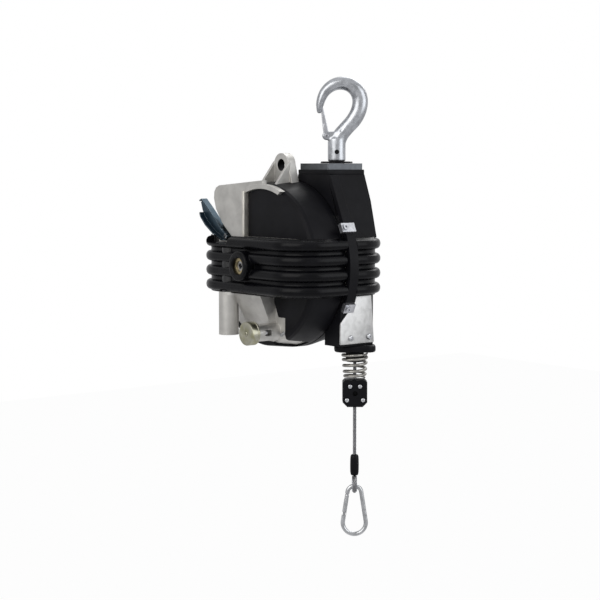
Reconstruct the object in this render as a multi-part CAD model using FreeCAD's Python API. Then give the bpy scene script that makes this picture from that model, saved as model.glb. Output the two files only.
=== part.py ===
"""Spring tool balancer: a housed rope drum with a worm-adjusted spring, hung from a swivel hook.

Working frame, in millimetres: the drum turns about the Y axis, the front of the
housing faces -Y, the rope leaves on the +X side and +Z is up. Every solid is
moved at the end, so that the origin lies where the hook bears on its support.
"""
import FreeCAD, Part
import math
import os

V = FreeCAD.Vector

# ---------------------------------------------------------------- housing sizes
SHELL_R = 111.0            # outside of the plastic skin at the split plane
FRONT_RIM_R = 107.0        # outside of the skin at the front face
REAR_RIM_R = 101.0         # outside of the skin at the back face
SKIN = 3.0                 # wall of the plastic skin
CASE_FRONT = -45.0         # bare front face of the casting
CASE_BACK = 62.0           # bare back face of the casting
SPLIT_GAP = 1.0            # groove between the two skins
RIM_ROUND = 6.0            # rounding of the skin's rims
CAVITY_R = 95.0
CAVITY_FRONT = -37.0
CAVITY_BACK = 50.0
FIT = 0.3                  # gap between a moving piece and the housing round it
RUNNING = 0.05             # radial clearance of a shaft in its bore

# ---------------------------------------------------------------- bumper belt
BELT_HALF_X = 119.0
BELT_HALF_Y = 83.0
BELT_CORNER = 56.0
BELT_HALF_Z = 36.5
BELT_BASE = 4.0
RIB_COUNT = 4
RIB_PITCH = 19.3
RIB_HALF = 6.5             # half height of a rib, and the radius of its nose
BELT_WALL = 11.0           # seat to rib crest
COLLAR_R = 19.5
COLLAR_FACE = -91.0
SEAT_HALF_X = BELT_HALF_X - BELT_WALL
SEAT_HALF_Y = BELT_HALF_Y - BELT_WALL
SEAT_CORNER = BELT_CORNER - BELT_WALL

# ---------------------------------------------------------------- rope and drum
ROPE_R = 2.3
DRUM_PITCH_R = 90.0
ROPE_Y = 34.0
ROPE_PITCH = 5.0
ROPE_TURNS = 3.5
DRUM_R = 93.5
DRUM_BACK = 39.5
CASE_WALL = 4.0            # wall of the rotating spring case
SPRING_CASE_FRONT = -31.0
SPRING_CASE_BACK = 11.0
COVER_WALL = 5.0
BEARING_R = 16.0
BEARING_BORE = 8.0

# ---------------------------------------------------------------- adjusting gear
MODULE = 2.0
WHEEL_TEETH = 34
WHEEL_R = MODULE * WHEEL_TEETH / 2
WORM_R = 8.5
WHEEL_FRONT = -70.8
WHEEL_BACK = -61.0
GEAR_CLEAR = 0.3
WORM_X = -(WHEEL_R + WORM_R)
WORM_Y = -69.5
WORM_BULGE_R = 11.6
TUBE_X = -46.5
TUBE_Y = -70.4
TUBE_R = 13.25
TUBE_BOTTOM = -94.0
WORM_HALF = 16.0
WORM_SHAFT_R = 5.5
KEY_MOUTH_R = 8.0
REAR_CAP_R = 30.0
REAR_CAP_T = 4.0
NOSE_R = 14.0
NOSE_FRONT = -78.0
BUSH_R = 10.8
SPINDLE_R = 7.0
JOURNAL_R = 9.0
ARBOR_R = 13.0

# ---------------------------------------------------------------- hook
HOOK_X = 52.0
HOOK_Y = 34.0
HOOK_SEAT_Z = 229.0
VIEW_TURN = 52.0           # hook and rope fittings are turned this far about Z at rest
BAR_Z = (118.5, 133.0)
BAR_X = (12.0, 71.0)
BAR_Y = (4.0, 63.0)
SHANK_R = 11.7
STEM_R = 10.0
STEM_CORE_R = 7.0
WASHER_R = 21.0
WASHER_T = 2.6
SHANK_Z = BAR_Z[1] + WASHER_T
NUT_R = 15.0
NUT_T = 11.0
THRUST_T = 6.0
CROSS_PIN_R = 3.0
CROSS_PIN_Z = 148.0

# ---------------------------------------------------------------- rope end fittings
GUIDE_BACK_X = 101.5        # the plate's seat on the guide body
PLATE_T = 2.5
GUIDE_Y = (0.0, 55.0)
GUIDE_BOTTOM = -100.0
NOZZLE_BOTTOM = -112.0
SPIGOT_R = 12.0
SPIGOT_LENGTH = 13.0
CHANNEL_R = 6.0
SPRING_TOP = -112.4
BLOCK_TOP = -148.5
BLOCK_BOTTOM = -184.0
BLOCK_HALF = 16.0
BLOCK_DEPTH = 11.0
SPRING_WIRE = 2.0
SPRING_COILS = 5.0
TAIL_BOTTOM = -250.0
SLEEVE_R = 5.75
SLEEVE_BOTTOM = -276.0
EYE_R = 9.9                # centre line of the rope round the thimble
THIMBLE_HOLE = 6.6
WIRE_R = 2.85              # carabiner wire
CARABINER_TOP_R = 9.1
CARABINER_FOOT_R = 15.2
CARABINER_SPAN = 40.0
GATE_PIN_R = 1.0
GATE_PIN_DROP = 2.8        # rivet below the end of the wire
EYE_Z = SLEEVE_BOTTOM - EYE_R - ROPE_R + 0.6
CARABINER_Z = EYE_Z - THIMBLE_HOLE + WIRE_R + 3 * FIT - CARABINER_TOP_R

# ---------------------------------------------------------------- controls
KNOB_X = 22.0
KNOB_Z = -86.0
KNOB_R = 15.5
KNOB_FACE = -93.0
KNOB_T = 13.0
SLEEVE_FRONT = -79.0
LOCK_SLEEVE_R = 11.5
LOCK_PIN_R = 4.0
LEVER_X = -77.0
LEVER_Z = 35.0
LEVER_BACK = -46.5         # back of the lever's web
LEVER_DEPTH = 9.5
LEVER_WALL = 1.6

# ---------------------------------------------------------------- strap, latch, block and cable guide
STRAP_R = 122.0
STRAP_T = 6.0
STRAP_Y = (-1.0, 13.0)
STRAP_TOP = 118.0
STRAP_LEAN = 24.0
STRAP_DROP = 25.0
STRAP_LUG_Z = (52.0, -50.0)
BELT_NOTCH_X = (-116.0, -33.0)
BELT_NOTCH_Z = 27.0
LATCH_PIVOT = (-13.5, -60.0)
LATCH_TIP = (-19.6, -22.5)
LATCH_EAR = 7.2
LATCH_PIN_R = 1.8
BLOCK_SCREWS = ((-6.5, -157.0), (6.5, -157.0), (-10.5, -175.0), (10.5, -175.0))
KNOB_ROOM = 7.0
DETENT_R = 1.8


# ================================================================ basic solids
def box(x, y, z):
    """Block between the pairs of coordinates x, y and z."""
    return Part.makeBox(x[1] - x[0], y[1] - y[0], z[1] - z[0], V(x[0], y[0], z[0]))


def rod_x(radius, y, z, x0, x1):
    """Round bar along X."""
    return Part.makeCylinder(radius, x1 - x0, V(x0, y, z), V(1, 0, 0))


def rod_y(radius, x, z, y0, y1):
    """Round bar along Y."""
    return Part.makeCylinder(radius, y1 - y0, V(x, y0, z), V(0, 1, 0))


def rod_z(radius, x, y, z0, z1):
    """Round bar along Z."""
    return Part.makeCylinder(radius, z1 - z0, V(x, y, z0), V(0, 0, 1))


def fused(*solids):
    """One solid from overlapping or touching ones."""
    whole = solids[0].fuse(list(solids[1:]))
    return whole.removeSplitter()


def group(solids):
    """Several separate solids in one node."""
    return Part.makeCompound(solids)


def prism_y(points, y0, y1):
    """Polygon of (x, z) points pulled along Y."""
    wire = Part.makePolygon([V(x, y0, z) for x, z in points + points[:1]])
    return Part.Face(wire).extrude(V(0, y1 - y0, 0))


def prism_x(points, x0, x1):
    """Polygon of (y, z) points pulled along X."""
    wire = Part.makePolygon([V(x0, y, z) for y, z in points + points[:1]])
    return Part.Face(wire).extrude(V(x1 - x0, 0, 0))


def revolve_y(points):
    """Polygon of (radius, y) points turned about the drum axis."""
    wire = Part.makePolygon([V(r, y, 0) for r, y in points + points[:1]])
    return Part.Face(wire).revolve(V(0, 0, 0), V(0, 1, 0), 360)


def revolve_z(points, x=0.0, y=0.0):
    """Polygon of (radius, z) points turned about a vertical axis."""
    wire = Part.makePolygon([V(x + r, y, z) for r, z in points + points[:1]])
    return Part.Face(wire).revolve(V(x, y, 0), V(0, 0, 1), 360)


def rounded_plan(half_x, half_y, corner, z0, z1):
    """Upright block with a rounded rectangular plan."""
    block = box((-half_x, half_x), (-half_y, half_y), (z0, z1))
    upright = [e for e in block.Edges if abs(e.Vertexes[0].Z - e.Vertexes[-1].Z) > 1]
    return block.makeFillet(corner, upright)


def turned(shape, x, y):
    """Local piece, drawn facing -Y at the origin, set at x, y and turned to its rest heading."""
    piece = shape.copy()
    piece.rotate(V(0, 0, 0), V(0, 0, 1), VIEW_TURN)
    piece.translate(V(x, y, 0))
    return piece


def hexagon_y(radius, x, z, y0, y1):
    """Hexagonal bar along Y."""
    corners = [(x + radius * math.cos(math.radians(60 * k)),
                z + radius * math.sin(math.radians(60 * k))) for k in range(6)]
    return prism_y(corners, y0, y1)


def hexagon_z(radius, x, y, z0, z1):
    """Hexagonal bar along Z."""
    corners = [V(x + radius * math.cos(math.radians(60 * k)),
                 y + radius * math.sin(math.radians(60 * k)), z0) for k in range(7)]
    return Part.Face(Part.makePolygon(corners)).extrude(V(0, 0, z1 - z0))


# ================================================================ housing
def belt_band():
    """Everything at the belt's height, used to clear the skins there."""
    reach = 2 * SHELL_R
    return box((-reach, reach), (-reach, reach), (-BELT_HALF_Z, BELT_HALF_Z))


def belt_seat():
    """Rounded body that the bumper belt is stretched over."""
    return rounded_plan(SEAT_HALF_X, SEAT_HALF_Y, SEAT_CORNER, -BELT_HALF_Z, BELT_HALF_Z)


def front_bowl(inset):
    """Solid outline of the front half, taken in by inset."""
    outer, rim = SHELL_R - inset, FRONT_RIM_R - inset
    face = CASE_FRONT - SKIN + inset
    return revolve_y([(0, 0), (outer, 0), (outer, -8), (rim, face + RIM_ROUND),
                      (rim - 0.3 * RIM_ROUND, face + 0.3 * RIM_ROUND), (rim - RIM_ROUND, face), (0, face)])


def rear_bowl(inset):
    """Solid outline of the rear half, taken in by inset."""
    outer, rim = SHELL_R - inset, REAR_RIM_R - inset
    face = CASE_BACK + SKIN - inset
    return revolve_y([(0, 0), (0, face), (rim - RIM_ROUND, face),
                      (rim - 0.3 * RIM_ROUND, face - 0.3 * RIM_ROUND), (rim, face - RIM_ROUND),
                      (outer, 8), (outer, 0)])


def head_outline(inset):
    """Shoulder under the suspension bar, tangent to the shell on the rope side."""
    right = BAR_X[1] + 1 - inset
    return [(BAR_X[0] + inset, 0), (BAR_X[0] + inset, BAR_Z[0]), (right, BAR_Z[0]),
            (right + 13, 84), (REAR_RIM_R - 3 - inset, BELT_HALF_Z - 4), (60, 0)]


def head_block(inset):
    """Shoulder solid between the split plane and the back."""
    return prism_y(head_outline(inset), SPLIT_GAP + inset, CASE_BACK + SKIN - inset)


def lug():
    """Second suspension eye with its two gussets."""
    z = 131.0
    ring_r, hole_r, y0, y1 = 15.6, 8.0, -18.0, -6.0
    foot = prism_y([(-27, 96), (27, 96), (ring_r * 0.94, z + 4), (-ring_r * 0.94, z + 4)], y0, y1)
    eye = rod_y(ring_r, 0, z, y0, y1)
    ribs = [prism_x([(y0 + 1, z + 5), (-46, 98), (-46, 92), (y0 + 1, 92)], x - 2, x + 2)
            for x in (-16, 16)]
    return fused(foot, eye, *ribs).cut(rod_y(hole_r, 0, z, y0 - 1, y1 + 1))


def wing_plate():
    """Flat bare plate that stands over the left front of the casting."""
    outline = [(-34, BELT_NOTCH_Z), (-34, 99), (4, 100), (4, 111), (-94, 103.5), (-101, 100.5), (-105, 95),
               (-106, 86), (-101, 71), (-86, 52), (-67, 37), (-55, BELT_NOTCH_Z)]
    return prism_y(outline, CASE_FRONT - 7, CASE_FRONT)


def rim_lip():
    """Raised lip over the top of the skin's front face."""
    ring = revolve_y([(FRONT_RIM_R - 7, CASE_FRONT - 8), (FRONT_RIM_R - 1, CASE_FRONT - 8),
                      (FRONT_RIM_R - 1, CASE_FRONT), (FRONT_RIM_R - 7, CASE_FRONT)])
    wedge = prism_y([(-40, 95), (30, 86), (52, 104), (-20, 130), (-60, 100)],
                    CASE_FRONT - 9, CASE_FRONT + 1)
    return ring.common(wedge)


def lower_wall():
    """Sloping wall below the belt, between the worm tube and the lock sleeve."""
    profile = [(-SEAT_HALF_Y, -BELT_HALF_Z + 4), (-SEAT_HALF_Y, -BELT_HALF_Z), (-54, -78),
               (-49, -99), (CASE_FRONT + 2, -99), (CASE_FRONT + 2, -BELT_HALF_Z + 4)]
    wall = prism_x(profile, -38, 24)
    side = prism_y([(-38, -30), (24, -30), (24, -110), (-22, -110)], -90, 0)
    return wall.common(side)


def worm_tube():
    """Upright tube that holds the adjusting worm, slimmer where it runs behind the belt."""
    return fused(rod_z(TUBE_R, TUBE_X, TUBE_Y, TUBE_BOTTOM, -BELT_HALF_Z),
                 rod_z(WORM_BULGE_R, WORM_X, WORM_Y, -BELT_HALF_Z - 4, WORM_HALF + 6))


def lock_sleeve():
    """Cast sleeve that guides the lock pin."""
    sleeve = rod_y(LOCK_SLEEVE_R, KNOB_X, KNOB_Z, SLEEVE_FRONT, CASE_FRONT + 2)
    root = Part.makeCone(LOCK_SLEEVE_R, LOCK_SLEEVE_R + 0.5, 10, V(KNOB_X, CASE_FRONT - 10, KNOB_Z), V(0, 1, 0))
    return fused(sleeve, root)


def belt_notch():
    """Gap in the top of the belt and its seat that clears the wing plate and the lever."""
    plate = box((BELT_NOTCH_X[1] - 59, BELT_NOTCH_X[1]), (-200, CASE_FRONT), (BELT_NOTCH_Z, BELT_HALF_Z + 1))
    lever = box(BELT_NOTCH_X, (LEVER_BACK - LEVER_DEPTH - 2, CASE_FRONT), (BELT_NOTCH_Z, BELT_HALF_Z + 1))
    return fused(plate, lever)


def gear_room():
    """Space for the worm wheel and the worm."""
    wheel = rod_y(WHEEL_R + MODULE + GEAR_CLEAR, 0, 0, WHEEL_FRONT - GEAR_CLEAR, WHEEL_BACK + GEAR_CLEAR)
    worm = rod_z(WORM_R + MODULE * 0.75 + GEAR_CLEAR, WORM_X, WORM_Y, -WORM_HALF - 1, WORM_HALF + 1)
    return fused(wheel, worm)


def front_casting():
    """Front half of the aluminium housing."""
    body = front_bowl(SKIN).cut(belt_band())
    seat = belt_seat().common(box((-200, 200), (-200, 0), (-200, 200))).cut(belt_notch())
    nose = rod_y(NOSE_R, 0, 0, NOSE_FRONT, -SEAT_HALF_Y + 1)
    whole = fused(body, seat, nose, lower_wall(), worm_tube(), lock_sleeve(), lug(),
                  wing_plate(), rim_lip())
    whole = whole.cut(rod_y(CAVITY_R, 0, 0, CAVITY_FRONT, 1))
    whole = whole.cut(gear_room())
    whole = whole.cut(rod_y(JOURNAL_R + RUNNING, 0, 0, WHEEL_BACK, CAVITY_FRONT + 1))
    whole = whole.cut(rod_y(BUSH_R, 0, 0, NOSE_FRONT - 1, WHEEL_FRONT))
    whole = whole.cut(rod_z(WORM_SHAFT_R + RUNNING, WORM_X, WORM_Y, TUBE_BOTTOM - 1, WORM_HALF + 4))
    whole = whole.cut(rod_z(KEY_MOUTH_R, WORM_X, WORM_Y, TUBE_BOTTOM - 1, TUBE_BOTTOM + 12))
    whole = whole.cut(rod_y(LOCK_PIN_R + RUNNING, KNOB_X, KNOB_Z, SLEEVE_FRONT - 1, CAVITY_FRONT + 1))
    slot = box((KNOB_X, KNOB_X + LOCK_SLEEVE_R + 2), (SLEEVE_FRONT + 10, SLEEVE_FRONT + 20),
               (KNOB_Z - 4, KNOB_Z + 4))
    return whole.cut(slot)


def rope_channel(radius):
    """Upright passage of the rope on the rope side."""
    return rod_z(radius, DRUM_PITCH_R, ROPE_Y, -140, 0)


def rear_casting():
    """Rear half of the aluminium housing, with the head that carries the bar."""
    body = fused(rear_bowl(SKIN), head_block(SKIN)).cut(belt_band())
    seat = belt_seat().common(box((-200, 200), (0, 200), (-200, 200)))
    whole = fused(body, seat)
    whole = whole.cut(rod_y(CAVITY_R, 0, 0, -1, CAVITY_BACK))
    whole = whole.cut(rod_y(BEARING_R, 0, 0, CAVITY_BACK - 1, CASE_BACK + 20))
    whole = whole.cut(rod_z(NUT_R + 2, HOOK_X, HOOK_Y, BAR_Z[0] - THRUST_T - NUT_T - 4, BAR_Z[0] + 1))
    whole = whole.cut(rod_y(REAR_CAP_R + FIT, 0, 0, CASE_BACK, CASE_BACK + 20))
    return whole.cut(rope_channel(CHANNEL_R))


def left_window():
    """Part of the front face that the skin leaves bare."""
    above = prism_y([(-32, BELT_HALF_Z - 2), (-32, 99), (-32, 140), (-140, 140), (-140, BELT_HALF_Z - 2)],
                    CASE_FRONT - 20, CASE_FRONT)
    below = prism_y([(18, -BELT_HALF_Z + 2), (48.5, -100), (52, -140), (-96, -140), (-96, -BELT_HALF_Z + 2)],
                    CASE_FRONT - 20, CASE_FRONT)
    return fused(above, below)


def bottom_window():
    """Bare strip of the casting at the bottom of the front half."""
    return box((20, 47), (CASE_FRONT - 4, -SPLIT_GAP - 7), (-130, -BELT_HALF_Z - 30))


def front_skin():
    """Black skin over the front half."""
    shell = front_bowl(0).cut(front_bowl(SKIN)).cut(belt_band())
    shell = shell.cut(box((-200, 200), (-SPLIT_GAP, 5), (-200, 200)))
    shell = shell.cut(left_window()).cut(bottom_window())
    for solid in (lug(), rim_lip(), wing_plate(), worm_tube(), lower_wall(), lock_sleeve()):
        shell = shell.cut(solid)
    return shell


def rear_skin():
    """Black skin over the rear half and the head."""
    outer = fused(rear_bowl(0), head_block(0))
    inner = fused(rear_bowl(SKIN), head_block(SKIN))
    shell = outer.cut(inner).cut(belt_band())
    shell = shell.cut(box((-200, 200), (-5, SPLIT_GAP), (-200, 200)))
    shell = shell.cut(box(BAR_X, BAR_Y, (BAR_Z[0] - SKIN - 1, BAR_Z[1])))
    shell = shell.cut(rod_z(NUT_R + 2, HOOK_X, HOOK_Y, BAR_Z[0] - 20, BAR_Z[0] + 1))
    shell = shell.cut(rod_y(REAR_CAP_R + FIT, 0, 0, CASE_BACK - 2, CASE_BACK + 20))
    return shell.cut(rope_channel(CHANNEL_R))



def rib_profile():
    """Closed outline of the belt wall, as (out, z) points and arcs, drawn at x = 0 in the XZ plane."""
    edges = []

    def line(a, b):
        edges.append(Part.LineSegment(V(a[0], 0, a[1]), V(b[0], 0, b[1])).toShape())

    nose = BELT_WALL - RIB_HALF
    here = (0, -BELT_HALF_Z)
    step = (BELT_BASE, -BELT_HALF_Z)
    line(here, step)
    here = step
    for k in range(RIB_COUNT):
        z = (k - (RIB_COUNT - 1) / 2) * RIB_PITCH
        low, high = (nose, z - RIB_HALF), (nose, z + RIB_HALF)
        line(here, (BELT_BASE, z - RIB_HALF))
        line((BELT_BASE, z - RIB_HALF), low)
        edges.append(Part.Arc(V(nose, 0, low[1]), V(BELT_WALL, 0, z), V(nose, 0, high[1])).toShape())
        line(high, (BELT_BASE, z + RIB_HALF))
        here = (BELT_BASE, z + RIB_HALF)
    line(here, (BELT_BASE, BELT_HALF_Z))
    line((BELT_BASE, BELT_HALF_Z), (0, BELT_HALF_Z))
    line((0, BELT_HALF_Z), (0, -BELT_HALF_Z))
    return Part.Face(Part.Wire(edges))


def bumper_belt():
    """Ribbed rubber belt round both housing halves, with a collar round the spindle."""
    flat_x = SEAT_HALF_X - SEAT_CORNER
    flat_y = SEAT_HALF_Y - SEAT_CORNER
    profile = rib_profile()
    parts = []
    for quarter in range(4):
        sx = 1 if quarter in (0, 3) else -1
        sy = 1 if quarter in (0, 1) else -1
        section = profile.copy()
        section.rotate(V(0, 0, 0), V(0, 0, 1), 90 * quarter)
        start = {0: (SEAT_CORNER, 0), 1: (0, SEAT_CORNER), 2: (-SEAT_CORNER, 0), 3: (0, -SEAT_CORNER)}[quarter]
        section.translate(V(sx * flat_x + start[0], sy * flat_y + start[1], 0))
        corner = V(sx * flat_x, sy * flat_y, 0)
        parts.append(section.revolve(corner, V(0, 0, 1), 90))
        length = {0: (0, -2 * flat_y), 1: (2 * flat_x, 0), 2: (0, 2 * flat_y), 3: (-2 * flat_x, 0)}[quarter]
        parts.append(section.extrude(V(length[0], length[1], 0)))
    belt = parts[0].fuse(parts[1:])
    belt = belt.fuse([rod_y(COLLAR_R, 0, 0, COLLAR_FACE, -SEAT_HALF_Y),
                      rod_z(WORM_BULGE_R + 1.0, WORM_X, WORM_Y, -BELT_HALF_Z + 2, WORM_HALF + 8)
                      .common(box((-200, 200), (-200, -SEAT_HALF_Y), (-200, 200)))])
    belt = belt.cut(belt_seat()).cut(belt_notch())
    belt = belt.cut(worm_tube())
    belt = belt.cut(rod_y(NOSE_R, 0, 0, NOSE_FRONT, 0))
    belt = belt.cut(rod_y(BUSH_R + FIT, 0, 0, COLLAR_FACE - 1, 0))
    return belt.cut(box((80, 200), (STRAP_Y[0] - FIT, STRAP_Y[1] + FIT), (-100, 100))).removeSplitter()


# ================================================================ strap and bar
def strap_outline(radius):
    """Outer edge of the joint strap as edges: tangent line above, then an arc round the axis."""
    lean = math.radians(STRAP_LEAN)
    touch = V(radius * math.cos(lean), 0, radius * math.sin(lean))
    rise = (STRAP_TOP - touch.z) / math.cos(lean)
    top = V(touch.x - rise * math.sin(lean), 0, STRAP_TOP)
    low = -math.radians(STRAP_DROP)
    end = V(radius * math.cos(low), 0, radius * math.sin(low))
    return top, touch, V(radius, 0, 0), end


def joint_strap():
    """Strap that covers the split line on the rope side, from the bar to below the belt."""
    outer, inner = strap_outline(STRAP_R), strap_outline(STRAP_R - STRAP_T)
    edges = [Part.LineSegment(outer[0], outer[1]).toShape(),
             Part.Arc(outer[1], outer[2], outer[3]).toShape(),
             Part.LineSegment(outer[3], inner[3]).toShape(),
             Part.Arc(inner[3], inner[2], inner[1]).toShape(),
             Part.LineSegment(inner[1], inner[0]).toShape(),
             Part.LineSegment(inner[0], outer[0]).toShape()]
    strap = Part.Face(Part.Wire(edges)).extrude(V(0, STRAP_Y[1] - STRAP_Y[0], 0))
    strap.translate(V(0, STRAP_Y[0], 0))
    web = [(STRAP_R - 9, -20), (STRAP_R - 9, 20), (STRAP_R - STRAP_T, 20), (STRAP_R - STRAP_T, -20)]
    pad = prism_y(web, STRAP_Y[0], STRAP_Y[1])
    strap = strap.fuse(pad)
    for solid in (belt_seat(), front_bowl(0), rear_bowl(0), head_block(0)):
        strap = strap.cut(solid)
    return max(strap.Solids, key=lambda s: s.Volume)


def strap_lugs():
    """Two metal clamp lugs across the strap, each with its screw."""
    lugs = []
    for z, reach in ((STRAP_LUG_Z[0], 14.0), (STRAP_LUG_Z[1], 9.0)):
        x = math.sqrt(STRAP_R ** 2 - z ** 2)
        tilt = math.degrees(math.atan2(z, x))
        plate = box((STRAP_R, STRAP_R + 6), (STRAP_Y[0] - reach + 4, STRAP_Y[1] - 2), (-6, 6))
        plate = plate.fuse(rod_x(4.2, STRAP_Y[0] - reach + 9, 0, STRAP_R + 6, STRAP_R + 9))
        socket = rod_x(1.8, STRAP_Y[0] - reach + 9, 0, STRAP_R + 7, STRAP_R + 10)
        plate = plate.cut(socket)
        plate.rotate(V(0, 0, 0), V(0, 1, 0), -min(tilt, STRAP_LEAN))
        lugs.append(plate)
    return group(lugs)


def suspension_bar():
    """Steel bar that carries the hook stem, seated in the head of the rear half."""
    bar = box(BAR_X, BAR_Y, BAR_Z)
    upright = [e for e in bar.Edges if abs(e.Vertexes[0].Z - e.Vertexes[-1].Z) > 1]
    bar = bar.makeFillet(2.0, upright)
    return bar.cut(rod_z(STEM_R + RUNNING, HOOK_X, HOOK_Y, BAR_Z[0] - 1, BAR_Z[1] + 1))


# ================================================================ hook
def tapered_sweep(stations):
    """Solid through elliptical sections; each station is (x, z, half width, half thickness)."""
    path = Part.BSplineCurve()
    path.interpolate([V(x, 0, z) for x, z, _, _ in stations])
    knots = [path.parameter(V(x, 0, z)) for x, z, _, _ in stations]
    wires = []
    for knot, (x, z, wide, thick) in zip(knots, stations):
        tangent = path.tangent(knot)[0]
        across = tangent.cross(V(0, 1, 0))
        across.normalize()
        if abs(wide - thick) < 0.01:
            ring = Part.Circle(V(x, 0, z), tangent, wide)
        elif wide > thick:
            ring = Part.Ellipse(V(x, 0, z) + across * wide, V(x, 0, z) + V(0, thick, 0), V(x, 0, z))
        else:
            ring = Part.Ellipse(V(x, 0, z) + V(0, thick, 0), V(x, 0, z) + across * wide, V(x, 0, z))
        wires.append(Part.Wire(ring.toShape()))
    return Part.makeLoft(wires, True, False)


def hook_body():
    """Forged hook with its shank, drawn facing -Y about its own axis."""
    seat = HOOK_SEAT_Z
    bowl = [(-22.5, -31, 3.2, 4.5), (-22.6, -24, 4.6, 6.0), (-20.6, -13, 5.8, 7.5), (-15.4, -2.5, 6.8, 8.4),
            (-6, 5.6, 7.8, 9.0), (5.5, 8.6, 8.6, 9.4), (17.5, 6.2, 9.4, 9.6), (26.6, -1.5, 10.0, 9.6),
            (30.6, -13, 10.3, 9.6), (29.0, -26, 10.3, 9.6), (22.8, -38.5, 10.2, 9.6), (13.6, -49, 9.8, 9.8),
            (5.6, -58.5, 10.2, 10.2), (0.8, -68, 11.0, 11.0)]
    arm = tapered_sweep([(x, seat + z, w, t) for x, z, w, t in bowl])
    shank = rod_z(SHANK_R, 0, 0, SHANK_Z, seat - 66)
    collar = Part.makeSphere(SHANK_R, V(0, 0, seat - 66))
    ears = [rod_y(5.6, LATCH_PIVOT[0], seat + LATCH_PIVOT[1], y, y + 3.2) for y in (-LATCH_EAR, LATCH_EAR - 3.2)]
    roots = [box((LATCH_PIVOT[0], 2), (y, y + 3.2), (seat + LATCH_PIVOT[1] - 5.6, seat + LATCH_PIVOT[1] + 5.6))
             for y in (-LATCH_EAR, LATCH_EAR - 3.2)]
    body = arm.fuse([shank, collar] + ears + roots)
    body = body.cut(box((LATCH_PIVOT[0] - 8, LATCH_PIVOT[0] + 7.0), (-LATCH_EAR + 3.2, LATCH_EAR - 3.2),
                        (seat + LATCH_PIVOT[1] - 8, seat + LATCH_PIVOT[1] + 8)))
    body = body.cut(rod_y(LATCH_PIN_R, LATCH_PIVOT[0], seat + LATCH_PIVOT[1], -20, 20))
    notch = box((-32, LATCH_TIP[0] + 3.2), (-2.6, 2.6), (seat - 40, seat + LATCH_TIP[1] + 1.5))
    body = body.cut(notch)
    groove = rod_y(4.0, 14.5, seat - 47.5, -20, -8.2)
    body = body.cut(groove)
    body = body.cut(rod_z(STEM_CORE_R, 0, 0, SHANK_Z - 1, CROSS_PIN_Z + 12))
    body = body.cut(rod_y(CROSS_PIN_R, 0, CROSS_PIN_Z, -20, 20))
    return max(body.Solids, key=lambda s: s.Volume)


def hook_stem():
    """Stem that turns in the bar, pinned into the hook's shank."""
    foot = BAR_Z[0] - THRUST_T - NUT_T - 1
    stem = fused(rod_z(STEM_R, 0, 0, foot, SHANK_Z), rod_z(STEM_CORE_R, 0, 0, SHANK_Z - 1, CROSS_PIN_Z + 12))
    return stem.cut(rod_y(CROSS_PIN_R, 0, CROSS_PIN_Z, -20, 20))


def hook_cross_pin():
    """Pin through the shank and the stem."""
    return rod_y(CROSS_PIN_R, 0, CROSS_PIN_Z, -SHANK_R + 1.2, SHANK_R - 1.2)


def hook_washer():
    """Washer between the shank and the bar."""
    return revolve_z([(STEM_R, BAR_Z[1] + 0.2), (WASHER_R, BAR_Z[1] + 0.2), (WASHER_R, BAR_Z[1] + WASHER_T - 0.8),
                      (WASHER_R - 0.8, BAR_Z[1] + WASHER_T), (STEM_R, BAR_Z[1] + WASHER_T)])


def hook_nut():
    """Nut that carries the bar on the thrust bearing."""
    z1 = BAR_Z[0] - THRUST_T
    return hexagon_z(NUT_R, 0, 0, z1 - NUT_T, z1).cut(rod_z(STEM_R, 0, 0, z1 - NUT_T - 1, z1 + 1))


def thrust_bearing():
    """Two races with a ring of balls between them, under the bar."""
    z1 = BAR_Z[0] - RUNNING
    z0 = BAR_Z[0] - THRUST_T
    wall = 1.6
    upper = revolve_z([(STEM_R + 0.2, z1 - wall), (NUT_R - 0.5, z1 - wall), (NUT_R - 0.5, z1), (STEM_R + 0.2, z1)])
    lower = revolve_z([(STEM_R + 0.2, z0), (NUT_R - 0.5, z0), (NUT_R - 0.5, z0 + wall), (STEM_R + 0.2, z0 + wall)])
    ball_r = (z1 - z0 - 2 * wall) / 2
    balls = [Part.makeSphere(ball_r, V(12.3 * math.cos(k * math.pi / 6), 12.3 * math.sin(k * math.pi / 6),
                                       (z0 + z1) / 2)) for k in range(12)]
    return group([upper, lower] + balls)


def hook_latch():
    """Slim sprung latch from its pivot to the hook's tip."""
    seat = HOOK_SEAT_Z
    px, pz = LATCH_PIVOT[0], seat + LATCH_PIVOT[1]
    tx, tz = LATCH_TIP[0], seat + LATCH_TIP[1]
    half = LATCH_EAR - 3.2 - FIT / 2
    eye = rod_y(4.6, px, pz, -half, half)
    length = math.hypot(tx - px, tz - pz)
    blade = box((-1.6, 1.6), (-2.4, 2.4), (0, length))
    root = box((-3.0, 3.0), (-half, half), (0, length * 0.35))
    arm = blade.fuse(root)
    arm.rotate(V(0, 0, 0), V(0, 1, 0), math.degrees(math.atan2(tx - px, tz - pz)))
    arm.translate(V(px, 0, pz))
    return eye.fuse(arm).cut(rod_y(LATCH_PIN_R + RUNNING, px, pz, -10, 10)).removeSplitter()


def latch_pin():
    """Pivot pin of the latch, held in the hook's ears."""
    return rod_y(LATCH_PIN_R, LATCH_PIVOT[0], HOOK_SEAT_Z + LATCH_PIVOT[1], -LATCH_EAR - 0.8, LATCH_EAR + 0.8)


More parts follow.
